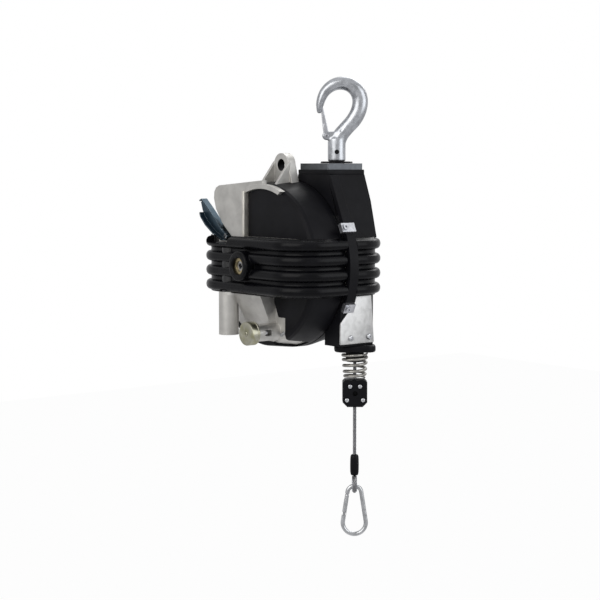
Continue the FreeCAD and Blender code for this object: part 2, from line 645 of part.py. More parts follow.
# ================================================================ drive
def spindle():
    """Arbor from the front bush to the rear bore, with a hexagon key socket in front."""
    shaft = revolve_y([(0, COLLAR_FACE + 6), (SPINDLE_R, COLLAR_FACE + 6), (SPINDLE_R, WHEEL_FRONT),
                       (JOURNAL_R, WHEEL_FRONT), (JOURNAL_R, CAVITY_FRONT + 0.5),
                       (ARBOR_R, CAVITY_FRONT + 0.5), (ARBOR_R, SPRING_CASE_BACK - CASE_WALL - 1),
                       (BEARING_BORE, SPRING_CASE_BACK - CASE_WALL - 1), (BEARING_BORE, CASE_BACK - 3),
                       (0, CASE_BACK - 3)])
    return shaft.cut(hexagon_y(4.0, 0, 0, COLLAR_FACE + 5, COLLAR_FACE + 14))


def spindle_bush():
    """Bronze bush that holds the front of the spindle."""
    return rod_y(BUSH_R, 0, 0, COLLAR_FACE + 4, WHEEL_FRONT - 0.2).cut(
        rod_y(SPINDLE_R + RUNNING, 0, 0, COLLAR_FACE, WHEEL_FRONT + 1))


def worm_wheel():
    """Spur-cut worm wheel on the spindle."""
    tip, root = WHEEL_R + MODULE * 0.8, WHEEL_R - MODULE * 1.1
    pitch_angle = 2 * math.pi / WHEEL_TEETH
    half_pitch, half_tip, half_root = 0.21 * pitch_angle, 0.12 * pitch_angle, 0.30 * pitch_angle
    points = []
    for k in range(WHEEL_TEETH):
        mid = math.pi + (k + 0.5) * pitch_angle
        for radius, offset in ((root, -half_root), (WHEEL_R, -half_pitch), (tip, -half_tip),
                               (tip, half_tip), (WHEEL_R, half_pitch), (root, half_root)):
            points.append((radius * math.cos(mid + offset), radius * math.sin(mid + offset)))
    wheel = prism_y(points, WHEEL_FRONT, WHEEL_BACK)
    wheel = wheel.cut(rod_y(JOURNAL_R, 0, 0, WHEEL_FRONT - 1, WHEEL_BACK + 1))
    recess = rod_y(WHEEL_R - 8, 0, 0, WHEEL_BACK - 3, WHEEL_BACK + 1)
    return wheel.cut(recess.cut(rod_y(JOURNAL_R + 7, 0, 0, WHEEL_BACK - 4, WHEEL_BACK + 2)))


def worm_screw():
    """Worm with a hexagon key socket at the open bottom of its tube."""
    pitch = math.pi * MODULE
    root, tip = WORM_R - MODULE * 0.95, WORM_R + MODULE * 0.75
    core = fused(rod_z(root, 0, 0, -WORM_HALF, WORM_HALF),
                 rod_z(WORM_SHAFT_R, 0, 0, TUBE_BOTTOM + 8, WORM_HALF + 3))
    turns = 4
    helix = Part.makeHelix(pitch, pitch * turns, WORM_R)
    wide, narrow = 0.30 * pitch, 0.12 * pitch
    inner = root - 0.4
    corners = [V(inner, 0, -wide), V(tip, 0, -narrow), V(tip, 0, narrow), V(inner, 0, wide), V(inner, 0, -wide)]
    section = Part.makePolygon(corners)
    thread = Part.Wire(helix.Edges).makePipeShell([section], True, True)
    thread.translate(V(0, 0, -pitch * turns / 2))
    worm = core.fuse(thread)
    worm = worm.cut(hexagon_z(3.2, 0, 0, TUBE_BOTTOM + 7, TUBE_BOTTOM + 18))
    worm.translate(V(WORM_X, WORM_Y, 0))
    return worm


def rope_drum():
    """Drum with rope grooves, a web and a hub."""
    y0 = SPRING_CASE_BACK
    rim_in = DRUM_PITCH_R - ROPE_R - 4
    outline = [(BEARING_R, y0), (DRUM_R, y0), (DRUM_R, y0 + 2.5), (DRUM_PITCH_R - ROPE_R, y0 + 2.5)]
    outline += [(DRUM_PITCH_R - ROPE_R, DRUM_BACK - 2.5), (DRUM_R, DRUM_BACK - 2.5), (DRUM_R, DRUM_BACK),
                (rim_in, DRUM_BACK), (rim_in, y0 + 6), (BEARING_R + 7, y0 + 6), (BEARING_R + 7, DRUM_BACK + 5),
                (BEARING_R, DRUM_BACK + 5)]
    drum = revolve_y(outline)
    holes = [rod_y(13.0, 52 * math.cos(k * math.pi / 3), 52 * math.sin(k * math.pi / 3), y0 - 1, y0 + 8)
             for k in range(6)]
    return drum.cut(group(holes))


def drum_rope():
    """Turns of rope on the drum, ending where the rope leaves it at +X."""
    helix = Part.makeHelix(ROPE_PITCH, ROPE_PITCH * ROPE_TURNS, DRUM_PITCH_R)
    start = Part.Wire(Part.makeCircle(ROPE_R - 0.02, V(DRUM_PITCH_R, 0, 0), V(0, 1, 0)))
    coil = Part.Wire(helix.Edges).makePipeShell([start], True, True)
    coil.rotate(V(0, 0, 0), V(1, 0, 0), 90)
    coil.translate(V(0, ROPE_Y, 0))
    return coil


def drum_bearings():
    """Two bearings between the drum hub and the spindle."""
    rings = []
    for y in (SPRING_CASE_BACK + 1, DRUM_BACK - 6):
        ring = rod_y(BEARING_R, 0, 0, y, y + 9).cut(rod_y(BEARING_BORE + 0.02, 0, 0, y - 1, y + 10))
        groove = Part.makeTorus((BEARING_R + BEARING_BORE) / 2, 2.2, V(0, y, 0), V(0, 1, 0))
        rings.append(ring.cut(groove))
    return group(rings)


def spring_case():
    """Pot that turns with the drum and holds the power spring."""
    pot = rod_y(DRUM_R, 0, 0, SPRING_CASE_FRONT, SPRING_CASE_BACK)
    pot = pot.cut(rod_y(DRUM_R - CASE_WALL, 0, 0, SPRING_CASE_FRONT - 1, SPRING_CASE_BACK - CASE_WALL))
    pot = pot.cut(rod_y(BEARING_R, 0, 0, SPRING_CASE_FRONT, SPRING_CASE_BACK + 1))
    return pot.cut(lock_notches(SPRING_CASE_FRONT - 1, SPRING_CASE_FRONT + 5))


def lock_notches(y0, y1):
    """Ring of notches that the lock pin drops into."""
    reach = math.hypot(KNOB_X, KNOB_Z)
    first = math.atan2(KNOB_Z, KNOB_X)
    notches = [rod_y(LOCK_PIN_R + 0.8, reach * math.cos(first + k * math.pi / 4),
                     reach * math.sin(first + k * math.pi / 4), y0, y1) for k in range(8)]
    return group(notches)


def spring_case_cover():
    """Front plate of the spring case, with the lock notches."""
    y1 = SPRING_CASE_FRONT
    plate = rod_y(DRUM_R, 0, 0, y1 - COVER_WALL, y1).cut(rod_y(ARBOR_R + 1, 0, 0, y1 - 8, y1 + 1))
    return plate.cut(lock_notches(y1 - COVER_WALL - 1, y1 + 1))


def power_spring():
    """Flat spiral spring, from the arbor to the wall of its case, as half-circle strips."""
    strip, turns = 1.4, 8
    r0, r1 = ARBOR_R + 0.3, DRUM_R - CASE_WALL - 0.4 - strip
    pitch = (r1 - r0) / turns
    edges_in, edges_out = [], []
    radius, sign, centre = r0, 1, 0.0
    for _ in range(2 * turns):
        for edges, r in ((edges_in, radius), (edges_out, radius + strip)):
            edges.append(Part.Arc(V(centre + sign * r, 0, 0), V(centre, 0, sign * r),
                                  V(centre - sign * r, 0, 0)).toShape())
        centre = centre + sign * pitch / 4
        radius += pitch / 4
        sign = -sign
    first = Part.LineSegment(V(r0, 0, 0), V(r0 + strip, 0, 0)).toShape()
    tip_in = V(centre + sign * radius, 0, 0)
    tip_out = V(centre + sign * (radius + strip), 0, 0)
    last = Part.LineSegment(tip_in, tip_out).toShape()
    wire = Part.Wire(Part.__sortEdges__(edges_in + edges_out + [first, last]))
    spring = Part.Face(wire).extrude(V(0, SPRING_CASE_BACK - CASE_WALL - SPRING_CASE_FRONT - 4, 0))
    spring.translate(V(0, SPRING_CASE_FRONT + 2, 0))
    return spring


def rear_cap():
    """Cover of the rear spindle bore."""
    plate = rod_y(REAR_CAP_R, 0, 0, CASE_BACK, CASE_BACK + SKIN + REAR_CAP_T)
    edge = [e for e in plate.Edges if abs(e.CenterOfMass.y - (CASE_BACK + SKIN + REAR_CAP_T)) < 0.01]
    plate = plate.makeFillet(1.2, edge)
    boss = rod_y(BEARING_R, 0, 0, CAVITY_BACK, CASE_BACK)
    bore = rod_y(BEARING_BORE + RUNNING, 0, 0, CAVITY_BACK - 1, CASE_BACK - 2)
    return plate.fuse(boss).cut(bore).removeSplitter()


# ================================================================ rope end
def guide_body():
    """Plastic block that guides the rope from the shell to the nozzle."""
    body = box((GUIDE_BACK_X - 32, GUIDE_BACK_X), GUIDE_Y, (GUIDE_BOTTOM - 3, -30))
    for solid in (rear_bowl(0), front_bowl(0), belt_band()):
        body = body.cut(solid)
    return max(body.cut(rope_channel(CHANNEL_R)).Solids, key=lambda s: s.Volume)


def guide_plate():
    """Satin plate over the guide body, held by two screws."""
    x0, x1 = GUIDE_BACK_X, GUIDE_BACK_X + PLATE_T
    outline = [(GUIDE_Y[0] - 2, GUIDE_BOTTOM), (GUIDE_Y[1], GUIDE_BOTTOM), (GUIDE_Y[1] - 5, -BELT_HALF_Z - 1),
               (25, -BELT_HALF_Z - 1), (22, -46), (GUIDE_Y[0] - 2, -72)]
    return prism_x(outline, x0, x1)


def screw_x(x, y, z, head_r, head_t):
    """Domed screw head on a face whose outward normal is +X, with a hexagon socket."""
    head = rod_x(head_r, y, z, x, x + head_t)
    edge = [e for e in head.Edges if abs(e.CenterOfMass.x - (x + head_t)) < 0.01]
    head = head.makeFillet(head_t * 0.45, edge)
    return head.cut(rod_x(head_r * 0.42, y, z, x + head_t * 0.4, x + head_t + 1))


def guide_screws():
    """Two screws of the guide plate."""
    return group([screw_x(GUIDE_BACK_X + PLATE_T, y, GUIDE_BOTTOM + 8, 4.0, 2.6) for y in (15, 46)])


def rope_nozzle():
    """Plastic foot under the guide body, with the spigot that the buffer spring sits on."""
    foot = box((-27, 27), (-17, 17), (NOZZLE_BOTTOM, GUIDE_BOTTOM - 3))
    upright = [e for e in foot.Edges if abs(e.Vertexes[0].Z - e.Vertexes[-1].Z) > 1]
    foot = foot.makeFillet(12.0, upright)
    low = [e for e in foot.Edges if e.BoundBox.ZMax < NOZZLE_BOTTOM + 0.1]
    foot = foot.makeFillet(4.0, low)
    foot.rotate(V(0, 0, 0), V(0, 0, 1), VIEW_TURN)
    foot.translate(V(DRUM_PITCH_R, ROPE_Y, 0))
    spigot = rod_z(SPIGOT_R, DRUM_PITCH_R, ROPE_Y, NOZZLE_BOTTOM - SPIGOT_LENGTH, NOZZLE_BOTTOM + 2)
    return fused(foot, spigot).cut(rod_z(ROPE_R + 1.0, DRUM_PITCH_R, ROPE_Y, -140, -90))


def buffer_spring():
    """Conical buffer spring between the nozzle and the stop block."""
    top_r, low_r = 16.2, 13.0
    height = SPRING_TOP - BLOCK_TOP - 2 * SPRING_WIRE
    pitch = height / SPRING_COILS
    angle = math.degrees(math.atan2(top_r - low_r, height))
    helix = Part.makeHelix(pitch, height, low_r, angle)
    ring = Part.Wire(Part.makeCircle(SPRING_WIRE - 0.1, V(low_r, 0, 0), V(0, 1, 0)))
    coil = Part.Wire(helix.Edges).makePipeShell([ring], True, True)
    coil.translate(V(0, 0, BLOCK_TOP + SPRING_WIRE))
    return coil


def stop_half(front):
    """One half of the clamped stop block."""
    y0, y1 = (-BLOCK_DEPTH, 0) if front else (0, BLOCK_DEPTH)
    chamfer, shoulder = 6.0, 3.0
    low, high = BLOCK_BOTTOM, BLOCK_TOP
    outline = [(-BLOCK_HALF + chamfer, low), (BLOCK_HALF - chamfer, low), (BLOCK_HALF, low + chamfer),
               (BLOCK_HALF, high - shoulder), (BLOCK_HALF - shoulder, high), (-BLOCK_HALF + shoulder, high),
               (-BLOCK_HALF, high - shoulder), (-BLOCK_HALF, low + chamfer)]
    half = prism_y(outline, y0, y1).cut(rod_z(ROPE_R, 0, 0, low - 1, high + 1))
    for x, z in BLOCK_SCREWS:
        half = half.cut(rod_y(1.8, x, z, -BLOCK_DEPTH - 1, BLOCK_DEPTH + 1))
        half = half.cut(rod_y(3.4, x, z, -BLOCK_DEPTH - 1, -BLOCK_DEPTH + 2.4))
    if front:
        half = half.cut(rod_y(3.4, 0, (low + high) / 2, -BLOCK_DEPTH - 1, -BLOCK_DEPTH + 6))
    return half


def stop_screws():
    """Four cap screws through both halves of the stop block."""
    screws = []
    for x, z in BLOCK_SCREWS:
        head = rod_y(3.1, x, z, -BLOCK_DEPTH - 0.6, -BLOCK_DEPTH + 2.4)
        socket = hexagon_y(1.5, x, z, -BLOCK_DEPTH - 1, -BLOCK_DEPTH + 1.2)
        screws.append(fused(head, rod_y(1.8, x, z, -BLOCK_DEPTH + 2.4, BLOCK_DEPTH - 1)).cut(socket))
    return group(screws)


def rope_sleeve():
    """Crimp sleeve under its rounded cover."""
    sleeve = rod_z(SLEEVE_R, 0, 0, SLEEVE_BOTTOM, TAIL_BOTTOM + 1)
    return sleeve.makeFillet(2.4, [e for e in sleeve.Edges if e.BoundBox.ZLength < 0.1])


def rope_eye():
    """Loop of rope round the thimble, in the plane across the carabiner."""
    loop = Part.makeTorus(EYE_R, ROPE_R, V(0, 0, EYE_Z), V(1, 0, 0))
    return loop.cut(rope_sleeve())


def thimble():
    """Grooved steel eye inside the rope loop."""
    ring = rod_x(EYE_R + 0.6, 0, EYE_Z, -3.0, 3.0).cut(rod_x(THIMBLE_HOLE, 0, EYE_Z, -4, 4))
    ring = ring.cut(Part.makeTorus(EYE_R, ROPE_R, V(0, 0, EYE_Z), V(1, 0, 0)))
    return max(ring.Solids, key=lambda s: s.Volume).cut(rope_sleeve())


def carabiner_sides():
    """Tangent points of the two round ends, as (top, foot) on the +X side."""
    lean = math.asin((CARABINER_FOOT_R - CARABINER_TOP_R) / CARABINER_SPAN)
    out = V(math.cos(lean), 0, math.sin(lean))
    top_centre = V(0, 0, CARABINER_Z)
    foot_centre = V(0, 0, CARABINER_Z - CARABINER_SPAN)
    return top_centre + out * CARABINER_TOP_R, foot_centre + out * CARABINER_FOOT_R, lean


def mirrored(point):
    """Point on the gate's side of the carabiner."""
    return V(-point.x, 0, point.z)


def gate_ends():
    """Upper and lower ends of the gate on the -X side."""
    top, foot, _ = carabiner_sides()
    left_top, left_foot = mirrored(top), mirrored(foot)
    return left_top + (left_foot - left_top) * 0.06, left_top + (left_foot - left_top) * 0.80


def carabiner_body():
    """Bent wire body, open on the gate's side."""
    top, foot, _ = carabiner_sides()
    upper, lower = gate_ends()
    apex = V(0, 0, CARABINER_Z + CARABINER_TOP_R)
    base = V(0, 0, CARABINER_Z - CARABINER_SPAN - CARABINER_FOOT_R)
    edges = [Part.LineSegment(upper, mirrored(top)).toShape(),
             Part.Arc(mirrored(top), apex, top).toShape(),
             Part.LineSegment(top, foot).toShape(),
             Part.Arc(foot, base, mirrored(foot)).toShape(),
             Part.LineSegment(mirrored(foot), lower).toShape()]
    along = (mirrored(top) - upper).normalize()
    ring = Part.Wire(Part.makeCircle(WIRE_R, upper, along))
    body = Part.Wire(edges).makePipeShell([ring], True, True)
    tang = box((upper.x - 1.2, upper.x + 1.2), (-1.0, 1.0), (upper.z - 5.0, upper.z + 1))
    hooklet = rod_y(1.4, lower.x, lower.z + 2.6, -2.2, 2.2)
    neck = box((lower.x - 0.7, lower.x + 0.7), (-2.2, 2.2), (lower.z - 1, lower.z + 2.6))
    return fused(body, tang, hooklet, neck)


def carabiner_gate():
    """Sprung gate between the open ends of the wire."""
    upper, lower = gate_ends()
    lift = (upper - lower).normalize()
    gate = Part.makeCylinder(WIRE_R, (upper - lower).Length - 2 * FIT, lower + lift * FIT, lift)
    slot_top = box((upper.x - 4, upper.x + 4), (-1.0 - FIT, 1.0 + FIT), (upper.z - 8.0, upper.z + 1))
    slot_low = box((lower.x - 2.4, lower.x + 4), (-2.2 - FIT, 2.2 + FIT), (lower.z - 1, lower.z + 4.6))
    pin_z = upper.z - GATE_PIN_DROP
    pin = rod_y(GATE_PIN_R + RUNNING, upper.x, pin_z, -5, 5)
    crown = box((upper.x - 5, upper.x + 5), (-5, 5), (pin_z, upper.z + 3)).cut(
        rod_y(GATE_PIN_DROP - FIT, upper.x, pin_z, -6, 6))
    gate = gate.cut(slot_top).cut(slot_low).cut(pin).cut(crown)
    return max(gate.Solids, key=lambda s: s.Volume)


def gate_pin():
    """Rivet of the gate."""
    upper, _ = gate_ends()
    return rod_y(GATE_PIN_R, upper.x, upper.z - GATE_PIN_DROP, -WIRE_R, WIRE_R)


# ================================================================ controls
def lock_pin():
    """Plunger that stops the drum when it is pushed in."""
    pin = rod_y(LOCK_PIN_R, KNOB_X, KNOB_Z, KNOB_FACE + 2, CAVITY_FRONT)
    return pin.cut(rod_x(DETENT_R, SLEEVE_FRONT + 12, KNOB_Z, KNOB_X - 10, KNOB_X + 10))


def lock_detent():
    """Cross pin that rides in the sleeve's slot."""
    return rod_x(DETENT_R, SLEEVE_FRONT + 12, KNOB_Z, KNOB_X - LOCK_PIN_R + 0.5, KNOB_X + LOCK_SLEEVE_R - 1)


def lock_knob():
    """Plain round knob, bored to slide over the sleeve."""
    knob = rod_y(KNOB_R, KNOB_X, KNOB_Z, KNOB_FACE, KNOB_FACE + KNOB_T)
    rims = [e for e in knob.Edges if e.BoundBox.YLength < 0.1]
    knob = knob.makeFillet(0.9, rims)
    knob = knob.cut(rod_y(LOCK_SLEEVE_R + FIT, KNOB_X, KNOB_Z, KNOB_FACE + KNOB_T - KNOB_ROOM, 0))
    knob = knob.cut(rod_y(LOCK_PIN_R, KNOB_X, KNOB_Z, KNOB_FACE + 2, 0))
    return knob.cut(rod_y(3.2, KNOB_X, KNOB_Z, KNOB_FACE - 1, KNOB_FACE + 2))


def knob_screw():
    """Screw that holds the knob on the pin."""
    return rod_y(3.2, KNOB_X, KNOB_Z, KNOB_FACE - 0.6, KNOB_FACE + 2).cut(
        hexagon_y(1.6, KNOB_X, KNOB_Z, KNOB_FACE - 1, KNOB_FACE + 1))


def lever_outline():
    """Crescent outline of the brake lever in the plane across the drum axis."""
    return [(-143, 80), (-130.5, 85), (-113, 71), (-98, 58), (-84, 45), (-73, 39), (-71, 34), (-74, 29.5),
            (-84, 29), (-105, 38), (-122, 48.5), (-133, 59), (-139, 69)]


def brake_lever():
    """Pressed channel lever that works the drum brake."""
    outline = lever_outline()
    wires = Part.makePolygon([V(x, 0, z) for x, z in outline + outline[:1]])
    face = Part.Face(wires)
    inner = face.makeOffset2D(-LEVER_WALL)
    front = LEVER_BACK - LEVER_DEPTH
    shell = face.extrude(V(0, LEVER_DEPTH, 0)).cut(inner.extrude(V(0, LEVER_DEPTH - LEVER_WALL, 0)))
    shell.translate(V(0, front, 0))
    shell = shell.cut(box((-160, -135.5), (front - 1, LEVER_BACK - LEVER_WALL), (60, 100)))
    angle = math.degrees(math.atan2(84 - 33, 138 - 74))
    slot = box((-42, -14), (LEVER_BACK - 4, LEVER_BACK + 4), (-3.6, 3.6))
    slot.rotate(V(0, 0, 0), V(0, 1, 0), angle)
    slot.translate(V(-95.2, 0, 49.8))
    shell = shell.cut(slot)
    shell = shell.cut(rod_y(3.0 + RUNNING, LEVER_X, LEVER_Z, -80, 0))
    shell = shell.cut(rod_y(5.2, LEVER_X, LEVER_Z, front - 1, LEVER_BACK - LEVER_WALL))
    return max(shell.Solids, key=lambda s: s.Volume)


def lever_screw():
    """Pivot screw of the lever, seated in the casting."""
    shoulder = rod_y(3.0, LEVER_X, LEVER_Z, LEVER_BACK - 3.4, CASE_FRONT)
    head = rod_y(4.6, LEVER_X, LEVER_Z, LEVER_BACK - 6.4, LEVER_BACK - LEVER_WALL - 0.2)
    socket = hexagon_y(2.4, LEVER_X, LEVER_Z, LEVER_BACK - 7, LEVER_BACK - 4.4)
    return fused(shoulder, head).cut(socket)


def bottom_screws():
    """Small screws in the bare strip at the bottom of the casting."""
    heads = [rod_y(2.6, x, z, CASE_FRONT - 1.6, CASE_FRONT) for x, z in ((36.5, -89.5), (41.5, -87))]
    return group([head.cut(hexagon_y(1.3, head.CenterOfMass.x, head.CenterOfMass.z, -60, CASE_FRONT - 0.8))
                  for head in heads])


def rear_cap_screws():
    """Four screws of the rear cap."""
    screws = []
    for k in range(4):
        angle = math.radians(45 + 90 * k)
        x, z = 23 * math.cos(angle), 23 * math.sin(angle)
        seat = CASE_BACK + SKIN + REAR_CAP_T
        head = rod_y(3.6, x, z, seat, seat + 2.6)
        screws.append(head.cut(hexagon_y(1.9, x, z, seat + 1.0, seat + 3)))
    return group(screws)


# ================================================================ assembly
def assembly():
    """Every node with its solid, in the working frame."""
    def hook(shape):
        return turned(shape, HOOK_X, HOOK_Y)

    def rope(shape):
        return turned(shape, DRUM_PITCH_R, ROPE_Y)

    hinge = gate_ends()[0]
    gate_hole = rod_y(GATE_PIN_R, hinge.x, hinge.z - GATE_PIN_DROP, -5, 5)
    return {
        "front_casting": front_casting(),
        "rear_casting": rear_casting(),
        "front_skin": front_skin(),
        "rear_skin": rear_skin(),
        "bumper_belt": bumper_belt(),
        "joint_strap": joint_strap(),
        "strap_lugs": strap_lugs(),
        "suspension_bar": suspension_bar(),
        "hook": hook(hook_body()),
        "hook_stem": hook(hook_stem()),
        "hook_cross_pin": hook(hook_cross_pin()),
        "hook_washer": hook(hook_washer()),
        "hook_nut": hook(hook_nut()),
        "thrust_bearing": hook(thrust_bearing()),
        "hook_latch": hook(hook_latch()),
        "latch_pin": hook(latch_pin()),
        "spindle": spindle(),
        "spindle_bush": spindle_bush(),
        "worm_wheel": worm_wheel(),
        "worm_screw": worm_screw(),
        "rope_drum": rope_drum(),
        "drum_rope": drum_rope(),
        "drum_bearings": drum_bearings(),
        "spring_case": spring_case(),
        "spring_case_cover": spring_case_cover(),
        "power_spring": power_spring(),
        "rear_cap": rear_cap(),
        "rear_cap_screws": rear_cap_screws(),
        "guide_body": guide_body(),
        "guide_plate": guide_plate(),
        "guide_screws": guide_screws(),
        "rope_nozzle": rope_nozzle(),
        "rope_lead": rod_z(ROPE_R, DRUM_PITCH_R, ROPE_Y, BLOCK_BOTTOM, 0),
        "buffer_spring": rope(buffer_spring()),
        "stop_block_front": rope(stop_half(True)),
        "stop_block_rear": rope(stop_half(False)),
        "stop_block_screws": rope(stop_screws()),
        "rope_tail": rod_z(ROPE_R, DRUM_PITCH_R, ROPE_Y, TAIL_BOTTOM + 1, BLOCK_BOTTOM),
        "rope_sleeve": rope(rope_sleeve()),
        "rope_eye": rope(rope_eye()),
        "thimble": rope(thimble()),
        "carabiner_body": rope(carabiner_body().cut(gate_hole)),
        "carabiner_gate": rope(carabiner_gate()),
        "gate_pin": rope(gate_pin()),
        "lock_pin": lock_pin(),
        "lock_detent": lock_detent(),
        "lock_knob": lock_knob(),
        "knob_screw": knob_screw(),
        "brake_lever": brake_lever(),
        "lever_screw": lever_screw(),
        "bottom_screws": bottom_screws(),
    }


def main():
    """Write one STEP file per node, with the origin at the hook's bearing point."""
    os.makedirs("parts", exist_ok=True)
    for name, shape in assembly().items():
        shape.translate(V(-HOOK_X, -HOOK_Y, -HOOK_SEAT_Z))
        volume = sum(solid.Volume for solid in shape.Solids)
        print(f"{name:20s} solids {len(shape.Solids):3d}  volume {volume:11.1f}  valid {shape.isValid()}")
        shape.exportStep(f"parts/{name}.step")


if __name__ == "__main__":
    main()
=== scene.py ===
"""Visual model of a spring tool balancer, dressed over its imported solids.

Sizes are in millimetres from the drum's centre, with the front of the housing
towards -Y, the rope on the +X side and +Z up. Each finished mesh is moved to
the row frame, in metres, when it becomes a piece.
"""

import logging
import math
from dataclasses import dataclass, field
from enum import Enum
from typing import Iterable, Sequence

import bmesh
import bpy
from mathutils import Matrix, Vector


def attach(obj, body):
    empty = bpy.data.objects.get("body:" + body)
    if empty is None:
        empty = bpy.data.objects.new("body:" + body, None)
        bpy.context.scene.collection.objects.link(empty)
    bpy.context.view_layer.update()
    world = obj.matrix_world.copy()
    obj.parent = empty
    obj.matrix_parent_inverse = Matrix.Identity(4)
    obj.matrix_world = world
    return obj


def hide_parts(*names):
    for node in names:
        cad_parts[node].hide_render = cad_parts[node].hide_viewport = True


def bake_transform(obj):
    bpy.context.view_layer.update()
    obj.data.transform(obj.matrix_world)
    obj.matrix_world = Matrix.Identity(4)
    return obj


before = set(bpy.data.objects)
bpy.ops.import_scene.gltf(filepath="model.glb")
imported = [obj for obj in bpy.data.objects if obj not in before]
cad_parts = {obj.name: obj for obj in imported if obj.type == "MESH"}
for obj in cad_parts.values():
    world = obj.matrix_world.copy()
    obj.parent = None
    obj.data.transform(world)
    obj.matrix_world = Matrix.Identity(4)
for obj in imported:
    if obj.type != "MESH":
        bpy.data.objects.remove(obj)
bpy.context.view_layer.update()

LOG = logging.getLogger("tool_balancer")

HOOK_AXIS = (52.0, 34.0)
ROPE_AXIS = (90.0, 34.0)
SEAT_HEIGHT = 229.0
FITTING_TURN = math.radians(52.0)
SMOOTH_ANGLE = math.radians(38.0)
FINISH_MARK = "finish_"
BELT_ZONE = (-0.26555, -0.19245)
PLATE_DEPTH = (-0.0862, -0.0790)
PLATE_FOOT = -0.202


class Place(Enum):
    """Where a mesh drawn in millimetres stands: about the drum, the hook or the rope."""

    DRUM = (0.0, 0.0, 0.0)
    HOOK = (HOOK_AXIS[0], HOOK_AXIS[1], FITTING_TURN)
    ROPE = (ROPE_AXIS[0], ROPE_AXIS[1], FITTING_TURN)

    def matrix(self) -> Matrix:
        """Transform from this place's millimetres to the row frame's metres."""
        x, y, turn = self.value
        stand = Matrix.Translation((x - HOOK_AXIS[0], y - HOOK_AXIS[1], -SEAT_HEIGHT))
        return Matrix.Scale(0.001, 4) @ stand @ Matrix.Rotation(turn, 4, "Z")


class Body(Enum):
    """Bodies of the balancer that pieces ride on."""

    HOUSING = "housing"
    HOOK = "hook"
    LATCH = "latch"
    ROPE_END = "rope_end"
    CARABINER = "carabiner"
    GATE = "gate"
    LOCK = "lock"
    LEVER = "lever"


